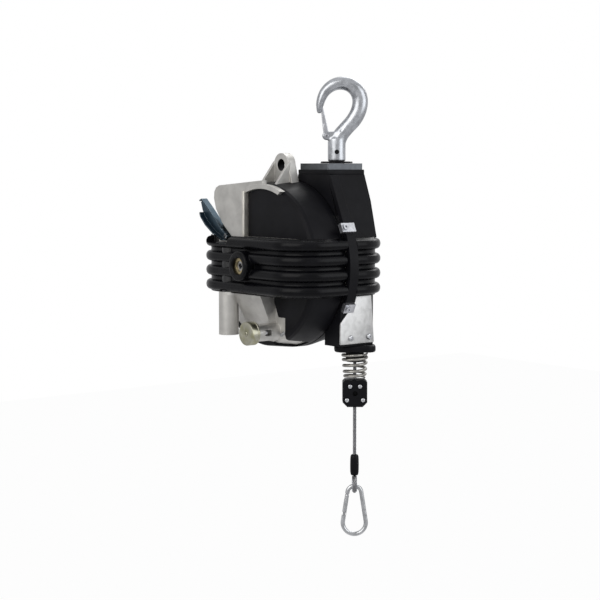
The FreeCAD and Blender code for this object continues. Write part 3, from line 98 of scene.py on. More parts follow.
# ------------------------------------------------------------------ finishes
class Surface:
    """Node tree of one material, with a short call for each kind of node."""

    def __init__(self, name: str, colour: Sequence[float], metallic: float, roughness: float) -> None:
        """Start from a Principled shader.

        Args:
            name: Name of the material.
            colour: Linear base colour.
            metallic: Metallic level.
            roughness: Roughness where nothing varies it.
        """
        self.material = bpy.data.materials.new(FINISH_MARK + name)
        self.material.use_nodes = True
        self.nodes = self.material.node_tree.nodes
        self.links = self.material.node_tree.links
        self.shader = self.nodes["Principled BSDF"]
        self.shader.inputs["Base Color"].default_value = (*colour, 1.0)
        self.shader.inputs["Metallic"].default_value = metallic
        self.shader.inputs["Roughness"].default_value = roughness
        self._normal = None

    def sheen_level(self, level: float) -> None:
        """Set how strongly a coat that is not metal mirrors its surroundings."""
        self.shader.inputs["Specular IOR Level"].default_value = level

    def where(self, stretch: Sequence[float] = (1.0, 1.0, 1.0)) -> bpy.types.NodeSocket:
        """Object coordinates, stretched along the axes."""
        coords = self.nodes.new("ShaderNodeTexCoord")
        mapping = self.nodes.new("ShaderNodeMapping")
        mapping.inputs["Scale"].default_value = stretch
        self.links.new(coords.outputs["Object"], mapping.inputs["Vector"])
        return mapping.outputs["Vector"]

    def noise(self, size: float, detail: float = 3.0, stretch: Sequence[float] = (1.0, 1.0, 1.0),
              distortion: float = 0.0) -> bpy.types.NodeSocket:
        """Noise with features of a given size.

        Args:
            size: Size of the features in millimetres.
            detail: Octaves of finer noise.
            stretch: Stretch of the pattern along the axes.
            distortion: Swirl of the pattern.

        Returns:
            The noise value's socket.
        """
        node = self.nodes.new("ShaderNodeTexNoise")
        node.inputs["Scale"].default_value = 1000.0 / size
        node.inputs["Detail"].default_value = detail
        node.inputs["Distortion"].default_value = distortion
        self.links.new(self.where(stretch), node.inputs["Vector"])
        return node.outputs["Fac"]

    def cells(self, size: float) -> bpy.types.NodeSocket:
        """Random grey level of each Voronoi cell of a size in millimetres."""
        node = self.nodes.new("ShaderNodeTexVoronoi")
        node.inputs["Scale"].default_value = 1000.0 / size
        self.links.new(self.where(), node.inputs["Vector"])
        grey = self.nodes.new("ShaderNodeRGBToBW")
        self.links.new(node.outputs["Color"], grey.inputs["Color"])
        return grey.outputs["Val"]

    def edges(self, radius: float, low: float = 0.02, high: float = 0.16) -> bpy.types.NodeSocket:
        """Mask that is 1 along sharp edges.

        Args:
            radius: Reach of the edge in millimetres.
            low: Bend where the mask starts.
            high: Bend where the mask is full.

        Returns:
            The mask's socket.
        """
        rounded = self.nodes.new("ShaderNodeBevel")
        rounded.samples = 4
        rounded.inputs["Radius"].default_value = radius * 0.001
        flat = self.nodes.new("ShaderNodeNewGeometry")
        dot = self.nodes.new("ShaderNodeVectorMath")
        dot.operation = "DOT_PRODUCT"
        self.links.new(rounded.outputs["Normal"], dot.inputs[0])
        self.links.new(flat.outputs["Normal"], dot.inputs[1])
        return self.span(dot.outputs["Value"], 1.0 - low, 1.0 - high, 0.0, 1.0)

    def span(self, value: bpy.types.NodeSocket, low: float, high: float, to_low: float,
             to_high: float) -> bpy.types.NodeSocket:
        """Value carried from one range to another, held at its ends."""
        node = self.nodes.new("ShaderNodeMapRange")
        for slot, number in zip(("From Min", "From Max", "To Min", "To Max"), (low, high, to_low, to_high)):
            node.inputs[slot].default_value = number
        self.links.new(value, node.inputs["Value"])
        return node.outputs["Result"]

    def product(self, first: bpy.types.NodeSocket, second: bpy.types.NodeSocket,
                operation: str = "MULTIPLY") -> bpy.types.NodeSocket:
        """Two values joined by a math operation."""
        node = self.nodes.new("ShaderNodeMath")
        node.operation = operation
        self.links.new(first, node.inputs[0])
        self.links.new(second, node.inputs[1])
        return node.outputs["Value"]

    def tint(self, value: bpy.types.NodeSocket, stops: Sequence[tuple[float, Sequence[float]]]) -> bpy.types.NodeSocket:
        """Colour ramp over a value, as (position, linear colour) stops."""
        node = self.nodes.new("ShaderNodeValToRGB")
        ramp = node.color_ramp
        while len(ramp.elements) < len(stops):
            ramp.elements.new(0.5)
        for element, (position, colour) in zip(ramp.elements, stops):
            element.position = position
            element.color = (*colour, 1.0)
        self.links.new(value, node.inputs["Fac"])
        return node.outputs["Color"]

    def blend(self, share: bpy.types.NodeSocket, under: bpy.types.NodeSocket,
              over: bpy.types.NodeSocket) -> bpy.types.NodeSocket:
        """Two colours mixed by a mask."""
        node = self.nodes.new("ShaderNodeMix")
        node.data_type = "RGBA"
        self.links.new(share, node.inputs["Factor"])
        self.links.new(under, node.inputs[6])
        self.links.new(over, node.inputs[7])
        return node.outputs[2]

    def compare(self, axis: str, middle: float, reach: float) -> bpy.types.NodeSocket:
        """Mask that is 1 within a reach of a place along an axis, both in metres of the row frame."""
        split = self.nodes.new("ShaderNodeSeparateXYZ")
        self.links.new(self.where(), split.inputs["Vector"])
        node = self.nodes.new("ShaderNodeMath")
        node.operation = "COMPARE"
        node.inputs[1].default_value = middle
        node.inputs[2].default_value = reach
        self.links.new(split.outputs[axis], node.inputs[0])
        return node.outputs["Value"]

    def belt_zone(self) -> bpy.types.NodeSocket:
        """Mask of what the belt's rubber skin covers, without the bright plate in its notch."""
        low, high = BELT_ZONE
        middle = self.compare("Z", (low + high) / 2, (high - low) / 2)
        near, far = PLATE_DEPTH
        plate = self.product(self.compare("Y", (near + far) / 2, (far - near) / 2),
                             self.compare("Z", PLATE_FOOT + 0.05, 0.05))
        return self.product(middle, self.span(plate, 0.0, 1.0, 1.0, 0.0))

    def round_edges(self, radius: float) -> None:
        """Let edges catch the light as if they were rounded by a radius in millimetres."""
        node = self.nodes.new("ShaderNodeBevel")
        node.samples = 4
        node.inputs["Radius"].default_value = radius * 0.001
        self._normal = node.outputs["Normal"]

    def bump(self, height: bpy.types.NodeSocket, depth: float, strength: float = 1.0) -> None:
        """Add relief of a depth in millimetres over the relief so far."""
        node = self.nodes.new("ShaderNodeBump")
        node.inputs["Distance"].default_value = depth * 0.001
        node.inputs["Strength"].default_value = strength
        self.links.new(height, node.inputs["Height"])
        if self._normal is not None:
            self.links.new(self._normal, node.inputs["Normal"])
        self._normal = node.outputs["Normal"]

    def colour(self, socket: bpy.types.NodeSocket) -> None:
        """Take the base colour from a socket."""
        self.links.new(socket, self.shader.inputs["Base Color"])

    def rough(self, socket: bpy.types.NodeSocket) -> None:
        """Take the roughness from a socket."""
        self.links.new(socket, self.shader.inputs["Roughness"])

    def done(self) -> bpy.types.Material:
        """Join the relief to the shader and give the material."""
        if self._normal is not None:
            self.links.new(self._normal, self.shader.inputs["Normal"])
        return self.material


def shade(colour: Sequence[float], factor: float) -> tuple[float, float, float]:
    """A colour made lighter or darker by a factor."""
    return tuple(min(1.0, channel * factor) for channel in colour)


@dataclass(frozen=True)
class CastMetal:
    """Matt cast aluminium with a fine grain and paler worn edges."""

    name: str = "cast_aluminium"
    colour: tuple[float, float, float] = (0.56, 0.55, 0.525)
    under_belt: tuple[float, float, float] = (0.006, 0.006, 0.007)
    metallic: float = 0.85
    grain: float = 0.7
    round_mm: float = 0.9
    belted: bool = False

    def material(self) -> bpy.types.Material:
        """Build the material."""
        cast = Surface(self.name, self.colour, self.metallic, 0.5)
        mottle = cast.noise(22.0, 4.0, distortion=0.4)
        tone = cast.tint(mottle, [(0.3, shade(self.colour, 0.82)), (0.55, self.colour), (0.8, shade(self.colour, 1.12))])
        bright = cast.tint(mottle, [(0.0, shade(self.colour, 1.3)), (1.0, shade(self.colour, 1.4))])
        skin = cast.blend(cast.edges(0.8), tone, bright)
        if self.belted:
            hidden = cast.belt_zone()
            dark = cast.tint(mottle, [(0.0, self.under_belt), (1.0, self.under_belt)])
            skin = cast.blend(hidden, skin, dark)
            cast.links.new(cast.span(hidden, 0.0, 1.0, self.metallic, 0.0), cast.shader.inputs["Metallic"])
        cast.colour(skin)
        cast.rough(cast.span(cast.noise(6.0, 5.0), 0.3, 0.7, 0.36, 0.56))
        cast.round_edges(self.round_mm)
        cast.bump(cast.noise(9.0, 3.0), 0.25, 0.5)
        cast.bump(cast.noise(self.grain, 2.0), 0.06)
        return cast.done()


@dataclass(frozen=True)
class MouldedPlastic:
    """Black moulded plastic with a fine texture, a cloudy tone and paler scuffed edges."""

    name: str = "black_plastic"
    colour: tuple[float, float, float] = (0.0042, 0.0042, 0.0056)
    mirror: float = 0.11
    roughness: tuple[float, float] = (0.34, 0.48)
    grain: float = 0.55
    depth: float = 0.03
    round_mm: float = 0.8

    def material(self) -> bpy.types.Material:
        """Build the material."""
        plastic = Surface(self.name, self.colour, 0.0, self.roughness[0])
        plastic.sheen_level(self.mirror)
        cloud = plastic.noise(35.0, 4.0)
        tone = plastic.tint(cloud, [(0.35, shade(self.colour, 0.8)), (0.7, shade(self.colour, 1.35))])
        scuff = plastic.tint(cloud, [(0.0, shade(self.colour, 3.0)), (1.0, shade(self.colour, 3.6))])
        worn = plastic.product(plastic.edges(0.5), plastic.span(plastic.noise(4.0), 0.45, 0.7, 0.0, 0.8))
        plastic.colour(plastic.blend(worn, tone, scuff))
        plastic.rough(plastic.span(plastic.noise(14.0, 5.0), 0.3, 0.7, *self.roughness))
        plastic.round_edges(self.round_mm)
        plastic.bump(plastic.noise(self.grain, 1.0), self.depth)
        return plastic.done()


@dataclass(frozen=True)
class MouldedRubber:
    """Black rubber with a soft sheen, faint ripples and a little dust."""

    name: str = "black_rubber"
    colour: tuple[float, float, float] = (0.0022, 0.0022, 0.003)
    mirror: float = 0.13
    roughness: tuple[float, float] = (0.2, 0.32)

    def material(self) -> bpy.types.Material:
        """Build the material."""
        rubber = Surface(self.name, self.colour, 0.0, self.roughness[0])
        rubber.sheen_level(self.mirror)
        dust = rubber.noise(16.0, 6.0, distortion=0.6)
        rubber.colour(rubber.tint(dust, [(0.4, self.colour), (0.75, shade(self.colour, 1.9))]))
        rubber.rough(rubber.span(dust, 0.3, 0.7, *self.roughness))
        rubber.round_edges(1.2)
        rubber.bump(rubber.noise(18.0, 2.0), 0.35, 0.5)
        rubber.bump(rubber.noise(0.8, 1.0), 0.02)
        return rubber.done()


@dataclass(frozen=True)
class ZincCoat:
    """Forged or drawn steel under a zinc coat, with soft dents and, where dark is given, painted shade along the edges.
    """

    name: str = "zinc"
    colour: tuple[float, float, float] = (0.47, 0.485, 0.51)
    roughness: tuple[float, float] = (0.24, 0.36)
    dents: float = 0.6
    dent_size: float = 13.0
    round_mm: float = 0.0
    # How dark the edges are painted, as painted shade for the dark surroundings they reflect; none leaves the edges
    # unshaded.
    dark: float | None = None

    def material(self) -> bpy.types.Material:
        """Build the material."""
        zinc = Surface(self.name, self.colour, 1.0, self.roughness[0])
        cloud = zinc.noise(8.0, 3.0, distortion=0.5)
        tone = zinc.tint(cloud, [(0.3, shade(self.colour, 0.78)), (0.55, self.colour), (0.8, shade(self.colour, 1.18))])
        # Painted shade: the edges are blended to a darker tone, standing in for dark reflections at grazing angles.
        if self.dark is not None:
            painted_edge_shade = zinc.tint(cloud, [(0.0, shade(self.colour, self.dark)), (1.0, shade(self.colour, self.dark * 1.4))])
            tone = zinc.blend(zinc.edges(1.6, 0.04, 0.3), tone, painted_edge_shade)
        zinc.colour(tone)
        zinc.rough(zinc.span(cloud, 0.3, 0.7, *self.roughness))
        if self.round_mm > 0:
            zinc.round_edges(self.round_mm)
        zinc.bump(zinc.noise(self.dent_size, 1.5), self.dents, 0.6)
        return zinc.done()


@dataclass(frozen=True)
class GrainedMetal:
    """Metal with a drawn grain along one axis, from plate to strip and turned parts."""

    name: str
    colour: tuple[float, float, float]
    along: tuple[float, float, float] = (1.0, 1.0, 0.06)
    roughness: tuple[float, float] = (0.28, 0.42)
    depth: float = 0.012
    stain: tuple[float, float, float] | None = None
    # Lighter colour along the edges, a painted highlight where the edges catch the light.
    rim: tuple[float, float, float] | None = None
    round_mm: float = 0.4

    def material(self) -> bpy.types.Material:
        """Build the material."""
        metal = Surface(self.name, self.colour, 1.0, self.roughness[0])
        grain = metal.noise(0.45, 3.0, self.along)
        cloud = metal.noise(9.0, 5.0, distortion=0.5)
        other = self.stain or shade(self.colour, 0.78)
        tone = metal.tint(cloud, [(0.36, other), (0.62, self.colour), (0.85, shade(self.colour, 1.12))])
        # Painted highlight: the edges are blended to the lighter rim colour.
        if self.rim is not None:
            tone = metal.blend(metal.edges(0.3), tone, metal.tint(cloud, [(0.0, self.rim), (1.0, self.rim)]))
        metal.colour(tone)
        metal.rough(metal.span(metal.product(grain, cloud, "ADD"), 0.7, 1.3, *self.roughness))
        metal.round_edges(self.round_mm)
        metal.bump(grain, self.depth)
        return metal.done()


class Finish(Enum):
    """The balancer's finishes, each with its slot in the record."""

    CAST = (CastMetal(), "cast_aluminium")
    # A lighter copy of the cast aluminium, used for the jamb: painted light from the right falling on it.
    CAST_RIM = (CastMetal("casting_painted_light", (0.72, 0.70, 0.64)), "cast_aluminium")
    CAST_BODY = (CastMetal("belted_casting", belted=True), "cast_aluminium")
    PLASTIC = (MouldedPlastic(), "black_plastic")
    SLEEVE = (MouldedPlastic("sleeve_plastic", roughness=(0.26, 0.4), depth=0.01), "black_rubber")
    RUBBER = (MouldedRubber(), "black_rubber")
    ZINC = (ZincCoat(), "zinc_forged")
    # The carabiner's wire gets painted shade along its edges through dark=0.5.
    WIRE_ZINC = (ZincCoat("carabiner_zinc", (0.52, 0.53, 0.54), (0.2, 0.32), 0.06, 6.0, 0.4, dark=0.5), "zinc_forged")
    PLATED = (GrainedMetal("zinc_plate", (0.60, 0.61, 0.64), (1.0, 1.0, 1.0), (0.24, 0.4)), "zinc_plate")
    SATIN = (GrainedMetal("satin_plate", (0.60, 0.60, 0.595), (1.0, 1.0, 0.05), (0.34, 0.46)), "satin_plate")
    # The bar's lighter rim is a painted highlight along its edges.
    BAR = (GrainedMetal("grey_metal", (0.15, 0.16, 0.172), (0.08, 0.08, 1.0), (0.4, 0.54), rim=(0.3, 0.31, 0.32)),
           "grey_metal")
    # The lever's lighter rim is a painted highlight along its edges.
    PRESSED = (GrainedMetal("lever_steel", (0.055, 0.085, 0.11), (0.2, 0.2, 1.0), (0.3, 0.42), rim=(0.42, 0.48, 0.52)),
               "lever_steel")
    # Near-black, used as painted shade inside the suspension eye; the hook's cross pin is dressed in it too.
    BORE = (GrainedMetal("bore_painted_shade", (0.02, 0.02, 0.022), roughness=(0.5, 0.6)), "inner_steel")
    OLIVE = (GrainedMetal("olive_zinc", (0.43, 0.42, 0.35), (1.0, 0.1, 1.0), (0.26, 0.4), 0.012,
                          (0.34, 0.33, 0.22)), "olive_zinc")
    BRONZE = (GrainedMetal("bronze", (0.42, 0.35, 0.2), (1.0, 0.1, 1.0), (0.25, 0.4)), "bronze")
    SPRING = (GrainedMetal("spring_steel", (0.36, 0.35, 0.325), (1.0, 1.0, 1.0), (0.3, 0.42)), "spring_steel")
    WIRE = (GrainedMetal("rope_wire", (0.27, 0.27, 0.28), (1.0, 1.0, 0.25), (0.26, 0.4), 0.05), "rope_wire")
    MACHINED = (GrainedMetal("inner_steel", (0.45, 0.45, 0.46), (1.0, 0.1, 1.0), (0.24, 0.38)), "inner_steel")
    SCREW = (GrainedMetal("screw_steel", (0.58, 0.59, 0.61), (1.0, 1.0, 1.0), (0.2, 0.34)), "screw_steel")

    @property
    def slot(self) -> str:
        """Material slot of the record."""
        return self.value[1]

    def material(self) -> bpy.types.Material:
        """The finish's material, built at its first use."""
        return bpy.data.materials.get(FINISH_MARK + self.value[0].name) or self.value[0].material()


# ------------------------------------------------------------------ mesh tools
@dataclass(frozen=True)
class Station:
    """One elliptical section of a swept skin."""

    centre: Vector
    along: Vector
    wide: float
    thick: float
    up: Vector = field(default_factory=lambda: Vector((0.0, 1.0, 0.0)))

    def matrix(self) -> Matrix:
        """Transform of the unit circle to this section."""
        side = self.along.cross(self.up).normalized()
        rise = side.cross(self.along).normalized()
        columns = (side * self.wide, rise * self.thick, self.along.normalized(), self.centre)
        rows = [[column[axis] for column in columns] for axis in range(3)]
        return Matrix((*rows, (0.0, 0.0, 0.0, 1.0)))


def own_edges(verts: Iterable[bmesh.types.BMVert]) -> list[bmesh.types.BMEdge]:
    """Edges whose two ends are both among the vertices."""
    inside = set(verts)
    return [e for e in {e for v in inside for e in v.link_edges} if all(v in inside for v in e.verts)]


def sweep(bm: bmesh.types.BMesh, stations: Sequence[Station], sides: int = 24, closed: bool = False) -> None:
    """Grow a skin ring by ring through the stations.

    Args:
        bm: Mesh that the skin is added to.
        stations: Sections in order.
        sides: Corners of each ring.
        closed: Join the last ring to the first instead of filling both ends.
    """
    verts = bmesh.ops.create_circle(bm, cap_ends=False, segments=sides, radius=1.0)["verts"]
    bmesh.ops.transform(bm, matrix=stations[0].matrix(), verts=verts)
    first = edges = own_edges(verts)
    for before, after in zip(stations, stations[1:]):
        grown = bmesh.ops.extrude_edge_only(bm, edges=edges)["geom"]
        verts = [part for part in grown if isinstance(part, bmesh.types.BMVert)]
        edges = own_edges(verts)
        bmesh.ops.transform(bm, matrix=after.matrix() @ before.matrix().inverted(), verts=verts)
    if closed:
        bmesh.ops.bridge_loops(bm, edges=first + edges)
    else:
        for loop in (first, edges):
            bmesh.ops.edgeloop_fill(bm, edges=loop)


def curve_through(points: Sequence[Sequence[float]], steps: int) -> list[list[float]]:
    """Smooth run of values through given ones.

    Args:
        points: Rows of numbers, such as position and sizes.
        steps: Rows to make between two given ones.

    Returns:
        Rows along a Catmull-Rom curve.
    """
    rows: list[list[float]] = []
    last = len(points) - 1
    for index in range(last):
        a, b = points[max(index - 1, 0)], points[index]
        c, d = points[index + 1], points[min(index + 2, last)]
        for step in range(steps):
            t = step / steps
            rows.append([0.5 * (2 * q + (r - p) * t + (2 * p - 5 * q + 4 * r - s) * t * t
                                + (3 * q - p - 3 * r + s) * t ** 3) for p, q, r, s in zip(a, b, c, d)])
    rows.append(list(points[-1]))
    return rows


def stations_along(points: Sequence[Vector], wide: Sequence[float], thick: Sequence[float],
                   up: Vector | None = None) -> list[Station]:
    """Stations at points, each facing along the line.

    Args:
        points: Centres in order.
        wide: Half widths.
        thick: Half thicknesses along up.
        up: Direction of the thickness, or none for the place's Y axis.

    Returns:
        The stations.
    """
    facing = up or Vector((0.0, 1.0, 0.0))
    stations = []
    for index, centre in enumerate(points):
        before, after = points[max(index - 1, 0)], points[min(index + 1, len(points) - 1)]
        stations.append(Station(centre, (after - before).normalized(), wide[index], thick[index], facing))
    return stations


def lathe(bm: bmesh.types.BMesh, profile: Sequence[tuple[float, float]], centre: Sequence[float] = (0.0, 0.0, 0.0),
          axis: str = "Z", steps: int = 48) -> None:
    """Spin a closed or axis-ended profile into a solid.

    Args:
        bm: Mesh that the solid is added to.
        profile: (radius, height) corners in order; a radius of 0 lies on the axis.
        centre: Point on the axis at height 0.
        axis: Axis letter that the heights run along.
        steps: Faces round the axis.
    """
    turn = {"Z": Matrix.Identity(4), "Y": Matrix.Rotation(-math.pi / 2, 4, "X"),
            "X": Matrix.Rotation(math.pi / 2, 4, "Y")}[axis]
    place = Matrix.Translation(centre) @ turn
    verts = [bm.verts.new(place @ Vector((radius, 0.0, height))) for radius, height in profile]
    edges = [bm.edges.new(pair) for pair in zip(verts, verts[1:])]
    if profile[0][0] > 0 and profile[-1][0] > 0:
        edges.append(bm.edges.new((verts[-1], verts[0])))
    bmesh.ops.spin(bm, geom=verts + edges, cent=place @ Vector(), axis=turn.to_3x3() @ Vector((0.0, 0.0, 1.0)),
                   angle=2 * math.pi, steps=steps, use_merge=True)
    bmesh.ops.remove_doubles(bm, verts=bm.verts[:], dist=0.0005)


def slab(bm: bmesh.types.BMesh, outline: Sequence[Sequence[float]], depth: Sequence[float], round_by: float = 0.0,
         segments: int = 3, corners: float = 0.0) -> list[bmesh.types.BMVert]:
    """Extrude an outline into a slab with rounded edges.

    Args:
        bm: Mesh that the slab is added to.
        outline: Corner points in order.
        depth: Vector of the extrusion.
        round_by: Rounding of the two rims.
        segments: Faces across a rounding.
        corners: Rounding of the outline's own corners.

    Returns:
        The slab's vertices.
    """
    before = set(bm.verts)
    face = bm.faces.new([bm.verts.new(point) for point in outline])
    if corners > 0:
        bmesh.ops.bevel(bm, geom=list(face.verts), offset=corners, offset_type="OFFSET", affect="VERTICES",
                        segments=6, profile=0.5, material=-1)
        bm.faces.ensure_lookup_table()
        face = next(f for f in bm.faces if all(v not in before for v in f.verts))
    grown = bmesh.ops.extrude_face_region(bm, geom=[face])["geom"]
    bmesh.ops.translate(bm, vec=Vector(depth), verts=[g for g in grown if isinstance(g, bmesh.types.BMVert)])
    fresh = [v for v in bm.verts if v not in before]
    if round_by > 0:
        way = Vector(depth).normalized()
        rims = [e for e in own_edges(fresh) if abs((e.verts[0].co - e.verts[1].co).normalized().dot(way)) < 0.1
                and len(e.link_faces) == 2 and e.calc_face_angle(0.0) > 0.5]
        bmesh.ops.bevel(bm, geom=rims, offset=round_by, offset_type="OFFSET", affect="EDGES", segments=segments,
                        profile=0.5, material=-1)
    return [v for v in bm.verts if v not in before]


def piece(name: str, bm: bmesh.types.BMesh, finish: Finish, body: Body | None, place: Place | None = Place.DRUM,
          replaces: Sequence[str] = (), angle: float = SMOOTH_ANGLE) -> bpy.types.Object:
    """Turn a mesh into a piece that rides on a body.

    Args:
        name: Name of the piece.
        bm: Its mesh in millimetres, which is freed here.
        finish: Finish of the whole piece.
        body: Body that it rides on, or none where it is blended between two.
        place: Where it stands, or none for a mesh that is in the row frame's metres already.
        replaces: Solids that it stands for.
        angle: Edges sharper than this stay sharp.

    Returns:
        The new object.
    """
    bmesh.ops.recalc_face_normals(bm, faces=bm.faces[:])
    if place is not None:
        bmesh.ops.transform(bm, matrix=place.matrix(), verts=bm.verts[:])
    mesh = bpy.data.meshes.new(name)
    bm.to_mesh(mesh)
    bm.free()
    mesh.materials.clear()
    mesh.materials.append(finish.material())
    mesh.shade_smooth()
    mesh.set_sharp_from_angle(angle=angle)
    obj = bpy.data.objects.new(name, mesh)
    bpy.context.scene.collection.objects.link(obj)
    if body is not None:
        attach(obj, body.value)
    if replaces:
        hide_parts(*replaces)
    LOG.info("%s: %d faces on %s", name, len(mesh.polygons), body.value if body else "two bodies")
    return obj


def carved(bm: bmesh.types.BMesh, cutters: Sequence[bmesh.types.BMesh] = (), voxel: float = 0.0,
           smooth: int = 0) -> bmesh.types.BMesh:
    """Merge a mesh by voxels, soften it and cut it with other meshes.

    Args:
        bm: Mesh in millimetres, which is freed here.
        cutters: Closed meshes to take away, which are freed here.
        voxel: Voxel size in millimetres, or 0 to leave the mesh as it is.
        smooth: Rounds of softening.

    Returns:
        The finished mesh in millimetres.
    """
    temporary = []

    def lend(source: bmesh.types.BMesh) -> bpy.types.Object:
        """Put a mesh in the scene for a modifier."""
        bmesh.ops.recalc_face_normals(source, faces=source.faces[:])
        mesh = bpy.data.meshes.new("lent")
        source.to_mesh(mesh)
        source.free()
        obj = bpy.data.objects.new("lent", mesh)
        bpy.context.scene.collection.objects.link(obj)
        temporary.append(obj)
        return obj

    work = lend(bm)
    if voxel > 0:
        remesh = work.modifiers.new("merge", "REMESH")
        remesh.mode = "VOXEL"
        remesh.voxel_size = voxel
    if smooth > 0:
        soften = work.modifiers.new("soften", "SMOOTH")
        soften.factor = 0.5
        soften.iterations = smooth
    for cutter in cutters:
        cut = work.modifiers.new("cut", "BOOLEAN")
        cut.operation = "DIFFERENCE"
        cut.solver = "EXACT"
        cut.object = lend(cutter)
    shaped = bpy.data.meshes.new_from_object(work.evaluated_get(bpy.context.evaluated_depsgraph_get()))
    result = bmesh.new()
    result.from_mesh(shaped)
    bpy.data.meshes.remove(shaped)
    for obj in temporary:
        mesh = obj.data
        bpy.data.objects.remove(obj)
        bpy.data.meshes.remove(mesh)
    return result


def rod(radius: float, start: Sequence[float], end: Sequence[float], round_by: float = 0.0,
        sides: int = 40) -> bmesh.types.BMesh:
    """New mesh of a straight rod between two points, with rounded rims."""
    bm = bmesh.new()
    add_rod(bm, radius, start, end, round_by, sides)
    return bm


def add_rod(bm: bmesh.types.BMesh, radius: float, start: Sequence[float], end: Sequence[float],
            round_by: float = 0.0, sides: int = 40, round_end: float | None = None) -> None:
    """Add a straight rod between two points.

    Args:
        bm: Mesh that the rod is added to.
        radius: Radius of the rod.
        start: Centre of its first end.
        end: Centre of its last end.
        round_by: Rounding of the rims.
        sides: Faces round the rod.
        round_end: Rounding of the last rim, where it differs.
    """
    first, last = Vector(start), Vector(end)
    along = (last - first).normalized()
    length = (last - first).length
    rows = [(0.0, radius)]
    if round_by > 0:
        quarter = [k * math.pi / 8 for k in range(5)]
        near, far = ([(rim * (1 - math.cos(a)), radius - rim * (1 - math.sin(a))) for a in quarter]
                     for rim in (round_by, round_end or round_by))
        rows = near + [(length - step, size) for step, size in reversed(far)]
    else:
        rows.append((length, radius))
    up = Vector((0.0, 1.0, 0.0)) if abs(along.y) < 0.9 else Vector((0.0, 0.0, 1.0))
    sweep(bm, [Station(first + along * step, along, size, size, up) for step, size in rows], sides)


def add_hexagon(bm: bmesh.types.BMesh, radius: float, start: Sequence[float], end: Sequence[float]) -> None:
    """Add a six-sided bar between two points."""
    add_rod(bm, radius, start, end, sides=6)


def add_box(bm: bmesh.types.BMesh, x: Sequence[float], y: Sequence[float], z: Sequence[float],
            round_by: float = 0.0) -> None:
    """Add a block between limits along each axis, with rounded edges."""
    size = Vector((x[1] - x[0], y[1] - y[0], z[1] - z[0]))
    centre = Vector((x[0] + x[1], y[0] + y[1], z[0] + z[1])) / 2
    made = bmesh.ops.create_cube(bm, size=1.0, matrix=Matrix.Translation(centre) @ Matrix.Diagonal((*size, 1.0)))
    if round_by > 0:
        bmesh.ops.bevel(bm, geom=own_edges(made["verts"]), offset=round_by, offset_type="OFFSET", affect="EDGES",
                        segments=3, profile=0.5, material=-1)


def dress(finish: Finish, *nodes: str) -> None:
    """Give solids that keep their own shape a finish."""
    for node in nodes:
        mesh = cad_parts[node].data
        mesh.materials.clear()
        mesh.materials.append(finish.material())
        LOG.info("%s: kept, in %s", node, finish.name)


